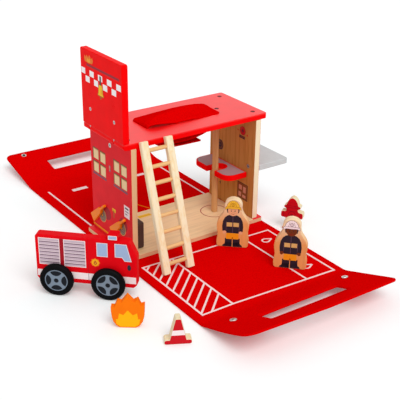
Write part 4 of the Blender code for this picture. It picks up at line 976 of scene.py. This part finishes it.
def print_inner_wall():
    """Gong, dial, framed plan and pull on the inside of the right wall."""
    layers = discs(26.5, 150, (0, "deep_red", 7.2), (1, "print_red", 6.4), (2, "deep_red", 3.6),
                   (3, "charcoal", 1.6))
    layers += flat(0, "print_red", oval(14.4, 148.6, 1.5), oval(38.3, 145.6, 1.5))
    layers += flat(0, "charcoal", rect(18.4, 137, 32.3, 141.5))
    layers += flat(1, "brown", rect(20, 138.2, 30.7, 140.4))
    layers += discs(-31.5, 108.5, (0, "charcoal", 8.8), (1, "brown", 7.4), (2, "charcoal", 4.2),
                    (3, "brown", 1.8))
    layers += flat(0, "charcoal", rect(18.1, 34.5, 44.6, 62.5))
    layers += flat(1, "umber", rect(19.1, 35.5, 43.6, 61.5))
    for x, y, w, h in ((21.5, 38, 7, 8), (31.5, 38, 8.5, 5), (22, 50, 8, 8), (33, 47, 7, 10.5)):
        room = rect(x, y, x + w, y + h)
        layers += flat(2, "brown", rect(x - 0.5, y - 0.5, x + w + 0.5, y + h + 0.5)) + flat(3, "pink", room)
    layers += flat(0, "charcoal", oval(-28.5, 42.6, 1.5), rect(-29.1, 39.2, -27.9, 42.6))
    lay_print("inner_wall_print", "station", face("left", RIGHT_WALL_LOW[0]), layers)


# Tower

def dress_tower():
    """Tower board with a checker band, a rail, a bell and a small flame."""
    dress(painted("tower red paint", colour_of("gloss_red"), "Z"), "tower_panel", "tower_plug_front",
          "tower_plug_back")
    layers = flat(0, "rail", rect(-39.7, 274.9, 50.8, 278.5))
    layers += flat(1, "deep_red", rect(-39.7, 276.2, 50.8, 277.3))
    upper_row = ((-56, -44.5), (-31.7, -19.6), (-7.5, 4.6), (17.5, 30.2), (43, 55.1))
    lower_row = ((-44.1, -32.2), (-19.4, -7.8), (5.6, 17.9), (29.9, 42.2))
    for low, high, checkers in ((261.4, 270, upper_row), (251, 259.8, lower_row)):
        layers += flat(0, "bright", *[rect(start, low, stop, high) for start, stop in checkers])
    u = -1.2
    rim = mirrored([(0, 239.4), (8.8, 239.4), (8.6, 241.8), (6.6, 244), (6.4, 251.4), (4.2, 256.6)])
    bell = mirrored([(0, 240.4), (7.8, 240.4), (5.8, 244), (5.5, 251.2), (3.4, 255.8)])
    layers += [(1, "charcoal", rect(u - 2.2, 256, u + 2.2, 268.6)),
               (2, "brown", rect(u - 0.9, 256, u + 0.9, 267.6)),
               (1, "ochre", [(u + x, v) for x, v in rim]), (2, "yellow", [(u + x, v) for x, v in bell]),
               (3, "amber", rect(u + 1.6, 243.6, u + 4.7, 250.8)), (1, "ochre", oval(u, 237.4, 2.2))]
    layers += flat(0, "orange", [(-44, 280.6), (-33, 279.6), (-23, 280.6), (-20.4, 285), (-22.6, 290),
                                 (-26, 286.6), (-30.4, 292), (-34.6, 287.2), (-38.4, 291), (-40.6, 286.8),
                                 (-44.4, 289.4), (-46, 284.6)])
    layers += flat(1, "amber", [(-38.4, 281.4), (-33, 280.8), (-28, 281.6), (-29.6, 287), (-33, 284.6),
                                (-36.4, 286.6)])
    lay_print("tower_print", "tower", face("left", TOWER_LOW[0]), layers)
    lay_print("tower_inner_print", "tower", face("right", TOWER_HIGH[0]),
              window_layers(-20, 222, 20, 262))


# Fasteners

def painted_drive_shade(node, body, side, size=1.9):
    """Painted shade of the cross-shaped drive: a dark cross on a screw's head, which looks up or to the left.
    """
    low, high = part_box(node)
    centre = [(a + b) / 2 for a, b in zip(low, high)]
    if side == "top":
        centre[2] = high[2]
    else:
        centre[0] = low[0]
    arm = size * 0.24
    cross = [(-size, -arm), (-arm, -arm), (-arm, -size), (arm, -size), (arm, -arm), (size, -arm), (size, arm),
             (arm, arm), (arm, size), (-arm, size), (-arm, arm), (-size, arm)]
    lay_print(node + "_recess", body, face(side, *centre), flat(0, "charcoal", cross))


def dress_fasteners():
    """Steel and painted screws, hinge leaves and press studs."""
    bare = ("tower_hinge", "tower_screw", "helipad_screw", "wall_screw")
    dress(metal("brushed steel"), *[node for node in frame["nodes"] if node.startswith(bare)])
    heads = [node for node in frame["nodes"] if node.startswith("roof_screw")]
    # Roof screw heads: red paint darkened by painted shade of their holes
    dress(painted("painted screw heads", colour_of("screw_red_shaded")), *heads)
    for node in heads:
        painted_drive_shade(node, "station", "top")
    for node in ("helipad_screw_front", "helipad_screw_back", "wall_screw"):
        painted_drive_shade(node, "station", "left")
    for node in ("tower_screw_front", "tower_screw_back"):
        painted_drive_shade(node, "tower", "left", 1.6)
    # Radii of the near-black discs on the studs' crowns: painted shade in the sockets
    for name, hollow_shade_radius in (("front", 0.0017), ("back", 0.0027)):
        slope = FLAP_RAISE[name]
        normal = Vector((0, -SIDES[name] * math.sin(slope), math.cos(slope)))
        for end in ("left", "right"):
            stud = f"{name}_snap_{end}"
            points = [vert.co for vert in frame["nodes"][stud].data.vertices]
            middle = sum(points, Vector()) / len(points)
            crown = middle + normal * (max(point.dot(normal) for point in points) - middle.dot(normal))
            dress(metal(stud.replace("_", " ") + " steel", crown, hollow_shade_radius), stud)


# Ladder

def dress_ladder():
    """Clear-lacquered pine."""
    rung = colour_of("rung_light")
    rail = bare_wood("ladder rail pine", colour_of("pine_light"), shade(colour_of("pine_dark"), 1.05), "Z")
    dress(rail, "ladder_left_rail", "ladder_right_rail")
    rungs = [node for node in frame["nodes"] if node.startswith("ladder_rung")]
    dress(bare_wood("ladder rung pine", rung, shade(rung, 0.86), "X"), *rungs)


# Fire engine

def truck_side_layers():
    """Shutters, windows, badge and stripe of one side, from the rear axle forwards."""
    layers = flat(0, "white", rect(-28.2, 24.6, 109.2, 34.7))
    layers += flat(1, "slat_shade", rect(43.4, 24.6, 44.0, 34.7))
    layers += flat(0, "deep_red", rect(43.5, 35.4, 43.9, 85), rect(4.4, 43, 10.6, 84))
    for left, right in ((-24.7, 4.6), (10.3, 40.6)):
        inner_left, inner_right = left + 0.9, right - 0.9
        layers += flat(1, "white", rect(left, 43, right, 83.5))
        layers += flat(2, "slat", rect(inner_left, 43.9, inner_right, 82.6))
        for i in range(7):
            height = 46.6 + 5.1 * i
            layers += [(3, "slat_shade", rect(inner_left, height, inner_right, height + 1.3)),
                       (3, "white", rect(inner_left, height + 1.4, inner_right, height + 2.0))]
    cab_window = [(103.6, 58.2), (97.0, 83.6), (80.8, 83.6), (80.8, 63.4), (90.6, 63.4), (94.0, 58.2)]
    for window in (rect(56, 62.4, 71, 83), cab_window):
        layers += [(1, "mauve", grown(window, 0.3)), (2, "white", window), (3, "glass", grown(window, -0.8))]
    u, v, scallops = 53.5, 52.5, []
    for angle in (2 * math.pi * i / 48 for i in range(48)):
        reach = 6.1 + 0.5 * math.cos(8 * angle)
        scallops.append((u + reach * math.cos(angle), v + reach * math.sin(angle)))
    layers += flat(1, "orange", scallops) + discs(u, v, (2, "yellow", 4.7), (3, "amber", 3.8))
    return layers + [(4, "deep_red", drop_outline(u, v - 0.3, 5.6, 0)),
                     (5, "amber", drop_outline(u, v - 0.7, 2.8, 0)), (1, "charcoal", oval(100, 49, 2.6, 4.4))]


def flipped(layers):
    """Layout for the other side of the fire engine, seen from that side."""
    return [(level, ink, [(-u, v) for u, v in outline]) for level, ink, outline in layers]


def hub_layers(turn):
    """Four-spoke wheel face: openings between the spokes, a rim and a dark middle."""
    opening = arc(0, 0, 14.7, -32, 64, 16) + arc(15.56, 0, 8.56, 116, 128, 16)
    layers = flat(0, "hub_grey", oval(0, 0, 16.0, steps=48)) + flat(1, "hub_dark", oval(0, 0, 3.3))
    return layers + flat(1, "hub_dark", *[turned(opening, turn + 90 * i) for i in range(4)])


def dress_truck():
    """Fire engine with printed sides and tail, and wheels with printed hubs."""
    dress(painted("engine red paint", colour_of("engine_red")), "truck_body", "truck_light_bar")
    dress(bare_wood("axle wood", colour_of("pine_light"), colour_of("pine_dark"), "X"), "truck_front_axle",
          "truck_rear_axle")
    dress(painted("black tyre paint", colour_of("tyre_black"), "Z", 0.45),
          *[node for node in frame["nodes"] if node.endswith("_wheel")])
    rear, front = (Vector(JOINTS[f"truck_{end}_wheel_spin"]["pos_m"]) for end in ("rear", "front"))
    ahead, up = (front - rear).normalized(), Vector((0, 0, 1))
    base = axes(ahead, up.cross(ahead), up, (rear.x, rear.y, 0))
    half, hub_face, tail_x = 0.0077, 0.0157, -0.0295
    tail = flat(0, "white", rect(-6.4, 24.6, 6.4, 34.7))
    tail += flat(1, "amber", rect(-6, 37.4, -3, 40.6), rect(3, 37.4, 6, 40.6))
    bar = flat(0, "white", rect(72.2, 89.0, 84.2, 95.0)) + flat(1, "glass", rect(73.0, 89.8, 83.4, 94.2))
    near, far = base @ face("front", y=-half), base @ face("back", y=half)
    for name, place, layers in (("truck_near", near, truck_side_layers()),
                                ("truck_far", far, flipped(truck_side_layers())),
                                ("truck_tail", base @ face("left", tail_x), tail),
                                ("light_bar_near", near, bar), ("light_bar_far", far, flipped(bar))):
        lay_print(name + "_print", "truck", place, layers)
    for end, along, turn in (("rear", 0.0, 0), ("front", (front - rear).length, 45)):
        for side, looks, y in (("right", "front", -hub_face), ("left", "back", hub_face)):
            lay_print(f"{end}_{side}_hub_print", f"truck_{end}_wheels",
                      base @ face(looks, along, y, rear.z), hub_layers(turn))


# Standing pieces

def figure_layers(helmet, helmet_line, skin, nose):
    """Firefighter in a coat with stripes."""
    layers = flat(0, "charcoal", rect(-12.6, 2, -0.6, 15), rect(0.6, 2, 12.6, 15))
    boot = [(0.8, 0.8), (17.0, 0.8), (16.4, 3.2), (13.2, 5.4), (12.6, 8), (1.2, 8)]
    hand = [(10.4, 24.4), (13.6, 21.6), (16.6, 23), (16.8, 26.6), (13.4, 27.4), (10.6, 26.4)]
    for side, stripe in ((-1, (-10.3, 34.6, -0.8, 41.4)), (1, (1.0, 34.6, 10.3, 41.4))):
        layers += [(0, "charcoal", [(side * u, v) for u, v in boot]),
                   (1, skin, [(side * u, v) for u, v in hand]),
                   (4, "slat_shade", rect(side * 11.0 - 0.25, 28, side * 11.0 + 0.25, 42)),
                   (3, "tan", rect(*stripe))]
    coat = mirrored([(0, 23.6), (10.6, 23.6), (11.2, 25.6), (15.2, 23.8), (17.3, 27.5), (17.8, 35),
                     (16.6, 43.5), (13.4, 49.6), (8.4, 53.2), (4.2, 54.2)])
    layers += [(0, "charcoal", coat),
               (2, "amber", mirrored([(0, 13.6), (10.4, 13.6), (10.8, 18), (9.8, 23.6)])),
               (3, "ochre", [(0, 17.6), (-1.6, 14), (1.6, 14)]), (4, "slat_shade", rect(-0.3, 24, 0.3, 52)),
               (1, "charcoal", mirrored([(0, 57), (9.6, 57.6), (10.6, 62), (10, 65.4)])),
               (2, skin, mirrored([(0, 52.2), (4.4, 53.2), (7.6, 56.4), (8.8, 60.4), (8.4, 65)]))]
    for side in (-1, 1):
        brow = stroke([(side * 2.0, 62.4), (side * 4.4, 62.2)], 0.45)
        layers += flat(3, "charcoal", oval(side * 3.1, 60.2, 0.75, 0.95, 12), *brow)
    layers += flat(3, "deep_red", *stroke(arc(0, 57.6, 3.2, 210, 120, 6, 2.4), 0.5))
    layers += flat(3, nose, oval(0, 58.9, 0.8, 0.5, 10))
    shell = mirrored([(0, 64.2), (8.4, 64.6), (13.2, 63.0), (12.8, 66.0), (10.4, 68.0), (9.4, 71.6),
                      (6.4, 75.2), (2.2, 77.2)])
    layers += flat(4, helmet_line, grown(shell, 0.5)) + flat(5, helmet, shell)
    for line in ([(-11.4, 66.6), (-6, 67.4), (0, 67.6), (6, 67.4), (11.4, 66.6)],
                 [(-5.4, 67.6), (-5.4 * 0.66, 74.6)], [(5.4, 67.6), (5.4 * 0.66, 74.6)]):
        layers += flat(6, helmet_line, *stroke(line, 0.5))
    layers += discs(0, 71, (6, helmet_line, 2.9), (7, helmet, 2.2), (8, helmet_line, 0.9))
    narrow = 0.89
    return [(level, ink, [(u * narrow, v) for u, v in outline]) for level, ink, outline in layers]


def dress_figures():
    """Two firefighters on light wood."""
    beech = graded_wood("figure wood", colour_of("beech_light"), colour_of("beech_dark"), FIGURE_FOOT + 0.04,
                        FIGURE_FOOT + 0.066)
    dress(beech, "firefighter_yellow_helmet", "firefighter_white_helmet")
    for colour, *inks in (("yellow", "helmet_yellow", "ochre", "skin_light", "nose_light"),
                          ("white", "bright", "slat_shade", "skin_dark", "nose_dark")):
        lay_print(f"firefighter_{colour}_print", "firefighter_" + colour,
                  standing_face(colour, FIGURE_FOOT), figure_layers(*inks))


def dress_hydrant():
    """Hydrant with a red front."""
    dress(front_painted("hydrant wood", shade(colour_of("pine_light"), 0.84), "hydrant"), "hydrant")
    layers = flat(0, "deep_red", rect(-12.6, 5.8, 12.6, 6.8), rect(-9.4, 19.6, 9.4, 20.6),
                  rect(-9.4, 32.4, 9.4, 33.4), rect(-12.4, 38.4, 12.4, 39.4), rect(-11.4, 41.6, 11.4, 42.4))
    layers += discs(0, 26.4, (0, "deep_red", 6.2), (1, "print_red", 5.2), (2, "deep_red", 2.2))
    layers += flat(0, "deep_red", *[rect(u - 0.5, 21.4, u + 0.5, 31.4) for u in (-13.2, 13.2)])
    lay_print("hydrant_print", "hydrant", standing_face("hydrant"), layers)


def dress_flame():
    """Orange flame with a yellow heart."""
    dress(painted("flame paint", colour_of("flame_orange"), "Z"), "flame")
    width, height = 43.5, 47
    heart = [(-0.22, 0.03), (0.22, 0.03), (0.33, 0.10), (0.371, 0.282), (0.31, 0.27), (0.277, 0.463),
             (0.15, 0.40), (0, 0.556), (-0.13, 0.40), (-0.252, 0.454), (-0.29, 0.27), (-0.356, 0.273),
             (-0.34, 0.12)]
    glow = [(u * width, v * height) for u, v in heart]
    lay_print("flame_print", "flame", standing_face("flame"), flat(0, "glow", glow))


def dress_cone():
    """Bare cone with a red front and a white band."""
    dress(front_painted("cone wood", shade(colour_of("pine_light"), 0.92), "cone"), "traffic_cone")
    low, high, taper = 13.3, 20.6, (3.6 - 10.6) / 30.5
    low_half, high_half = (10.4 + taper * (v - 6) for v in (low, high))
    band = [(-low_half, low), (low_half, low), (high_half, high), (-high_half, high)]
    lay_print("cone_print", "traffic_cone", standing_face("cone"), flat(0, "white", band))


# Stage

def make_stage():
    """White floor and surroundings, soft light and the camera."""
    scene = bpy.context.scene
    sizes = scene.fire_station_sizes
    shape = bmesh.new()
    half_floor, drop, whitening = 6, 0.0002, 0.12
    bmesh.ops.create_grid(shape, x_segments=2, y_segments=2, size=half_floor)
    mesh = bpy.data.meshes.new("studio_floor")
    shape.to_mesh(mesh)
    shape.free()
    floor = bpy.data.objects.new("studio_floor", mesh)
    floor.location = (0, 0, -drop)
    scene.collection.objects.link(floor)
    recipe = Recipe("white floor", 0.9)
    recipe.shader["Base Color"].default_value = (0.90, 0.93, 0.93, 1)
    recipe.shader["Specular IOR Level"].default_value = 0.0
    recipe.shader["Emission Color"].default_value = (1, 1, 1, 1)
    glow = recipe.math("MULTIPLY", seen_rays(recipe.tree), whitening)
    recipe.tree.links.new(glow, recipe.shader["Emission Strength"])
    mesh.materials.append(recipe.material)
    make_sky(scene, sizes.sky_level)
    lamp = bpy.data.lights.new("key_sun", "SUN")
    lamp.energy = sizes.key_level
    lamp.angle = math.radians(35)
    key = bpy.data.objects.new("key_sun", lamp)
    key.rotation_euler = (math.radians(38), math.radians(-7), 0)
    scene.collection.objects.link(key)
    make_camera(scene, sizes.lens)
    scene.view_settings.view_transform = "Standard"


def seen_rays(tree):
    """1 for rays from the camera, in reflections and through glass."""
    rays = tree.nodes.new("ShaderNodeLightPath")
    seen = rays.outputs["Is Camera Ray"]
    for other in ("Is Glossy Ray", "Is Transmission Ray"):
        pick = tree.nodes.new("ShaderNodeMath")
        pick.operation = "MAXIMUM"
        tree.links.new(seen, pick.inputs[0])
        tree.links.new(rays.outputs[other], pick.inputs[1])
        seen = pick.outputs[0]
    return seen


def make_sky(scene, level):
    """World that is white to the camera and in reflections, and gives an even light."""
    world = bpy.data.worlds.new("white studio")
    scene.world = world
    world.use_nodes = True
    tree = world.node_tree
    tree.nodes.clear()
    output = tree.nodes.new("ShaderNodeOutputWorld")
    blend = tree.nodes.new("ShaderNodeMixShader")
    tree.links.new(seen_rays(tree), blend.inputs[0])
    for i, strength in ((1, level), (2, 1.0)):
        made = tree.nodes.new("ShaderNodeBackground")
        made.inputs["Color"].default_value = (1, 1, 1, 1)
        made.inputs["Strength"].default_value = strength
        tree.links.new(made.outputs[0], blend.inputs[i])
    tree.links.new(blend.outputs[0], output.inputs["Surface"])


def make_camera(scene, lens):
    """Camera at the height and angle from which the set is shown."""
    data = bpy.data.cameras.new("camera")
    data.lens = lens
    data.sensor_width = 36
    data.clip_start = 0.05
    data.clip_end = 50
    camera = bpy.data.objects.new("camera", data)
    right = Vector((0.8182452, -0.5746904, 0.01434328))
    back = Vector((-0.52494936, -0.73678884, 0.42611075))
    camera.matrix_world = axes(right, back.cross(right), back, (-0.68177, -1.02048, 0.62634))
    scene.collection.objects.link(camera)
    scene.camera = camera


# Operators and panel

class Undoable:
    """Lets what an operator makes be undone."""
    bl_options = {"REGISTER", "UNDO"}


class FIRE_STATION_OT_case_boards(Undoable, bpy.types.Operator):
    """Paint and bare wood of the boards"""
    bl_idname = "fire_station.case_boards"
    bl_label = "Case boards"

    def execute(self, context):
        dress_case()
        return {"FINISHED"}


class FIRE_STATION_OT_wall_prints(Undoable, bpy.types.Operator):
    """Windows, reels and notices on the walls"""
    bl_idname = "fire_station.wall_prints"
    bl_label = "Wall prints"

    def execute(self, context):
        print_walls()
        return {"FINISHED"}


class FIRE_STATION_OT_tower(Undoable, bpy.types.Operator):
    """Tower board and its print"""
    bl_idname = "fire_station.tower"
    bl_label = "Tower"

    def execute(self, context):
        dress_tower()
        return {"FINISHED"}


class FIRE_STATION_OT_fasteners(Undoable, bpy.types.Operator):
    """Screws, hinge leaves and press studs"""
    bl_idname = "fire_station.fasteners"
    bl_label = "Fasteners"

    def execute(self, context):
        dress_fasteners()
        return {"FINISHED"}


class FIRE_STATION_OT_felt_mats(Undoable, bpy.types.Operator):
    """Felt floor, mats and flaps"""
    bl_idname = "fire_station.felt_mats"
    bl_label = "Felt mats"

    def execute(self, context):
        make_felt()
        return {"FINISHED"}


class FIRE_STATION_OT_road_lines(Undoable, bpy.types.Operator):
    """White markings on the mats"""
    bl_idname = "fire_station.road_lines"
    bl_label = "Road lines"

    def execute(self, context):
        make_road_lines()
        return {"FINISHED"}


class FIRE_STATION_OT_strap(Undoable, bpy.types.Operator):
    """Felt strap through the roof"""
    bl_idname = "fire_station.strap"
    bl_label = "Carry strap"

    def execute(self, context):
        make_strap()
        return {"FINISHED"}


class FIRE_STATION_OT_ladder(Undoable, bpy.types.Operator):
    """Pine rails and rungs"""
    bl_idname = "fire_station.ladder"
    bl_label = "Ladder"

    def execute(self, context):
        dress_ladder()
        return {"FINISHED"}


class FIRE_STATION_OT_fire_engine(Undoable, bpy.types.Operator):
    """Body, wheels and prints of the fire engine"""
    bl_idname = "fire_station.fire_engine"
    bl_label = "Fire engine"

    def execute(self, context):
        dress_truck()
        return {"FINISHED"}


class FIRE_STATION_OT_firefighters(Undoable, bpy.types.Operator):
    """Two printed figures"""
    bl_idname = "fire_station.firefighters"
    bl_label = "Firefighters"

    def execute(self, context):
        dress_figures()
        return {"FINISHED"}


class FIRE_STATION_OT_hydrant(Undoable, bpy.types.Operator):
    """Printed hydrant"""
    bl_idname = "fire_station.hydrant"
    bl_label = "Hydrant"

    def execute(self, context):
        dress_hydrant()
        return {"FINISHED"}


class FIRE_STATION_OT_flame(Undoable, bpy.types.Operator):
    """Painted flame"""
    bl_idname = "fire_station.flame"
    bl_label = "Flame"

    def execute(self, context):
        dress_flame()
        return {"FINISHED"}


class FIRE_STATION_OT_cone(Undoable, bpy.types.Operator):
    """Printed cone"""
    bl_idname = "fire_station.cone"
    bl_label = "Traffic cone"

    def execute(self, context):
        dress_cone()
        return {"FINISHED"}


class FIRE_STATION_OT_stage(Undoable, bpy.types.Operator):
    """Floor, light and camera"""
    bl_idname = "fire_station.stage"
    bl_label = "Stage"

    def execute(self, context):
        make_stage()
        return {"FINISHED"}


OPERATORS = [FIRE_STATION_OT_case_boards, FIRE_STATION_OT_wall_prints, FIRE_STATION_OT_tower,
             FIRE_STATION_OT_fasteners, FIRE_STATION_OT_felt_mats, FIRE_STATION_OT_road_lines,
             FIRE_STATION_OT_strap, FIRE_STATION_OT_ladder, FIRE_STATION_OT_fire_engine,
             FIRE_STATION_OT_firefighters, FIRE_STATION_OT_hydrant, FIRE_STATION_OT_flame,
             FIRE_STATION_OT_cone, FIRE_STATION_OT_stage]


class FIRE_STATION_PT_finish(bpy.types.Panel):
    """Lists the pieces and their colours."""
    bl_label = "Fire Station"
    bl_idname = "FIRE_STATION_PT_finish"
    bl_space_type = "VIEW_3D"
    bl_region_type = "UI"
    bl_category = "Fire Station"

    def draw(self, context):
        for each in OPERATORS:
            self.layout.operator(each.bl_idname)
        for group in (context.scene.fire_station_sizes, context.scene.fire_station_paints,
                      context.scene.fire_station_inks):
            box = self.layout.box()
            for key in group.__annotations__:
                box.prop(group, key)


GROUPS = {"fire_station_paints": FireStationPaints, "fire_station_inks": FireStationInks,
          "fire_station_sizes": FireStationSizes}
CLASSES = [*GROUPS.values(), *OPERATORS, FIRE_STATION_PT_finish]


def register():
    """Registers the classes and the scene's settings."""
    for each in CLASSES:
        bpy.utils.register_class(each)
    for name, group in GROUPS.items():
        setattr(bpy.types.Scene, name, PointerProperty(type=group))


def unregister():
    """Takes them out again."""
    for name in GROUPS:
        delattr(bpy.types.Scene, name)
    for each in reversed(CLASSES):
        bpy.utils.unregister_class(each)


def main():
    """Finishes the whole set."""
    register()
    for each in OPERATORS:
        getattr(bpy.ops.fire_station, each.bl_idname.split(".")[1])()


if __name__ == "__main__":
    main()
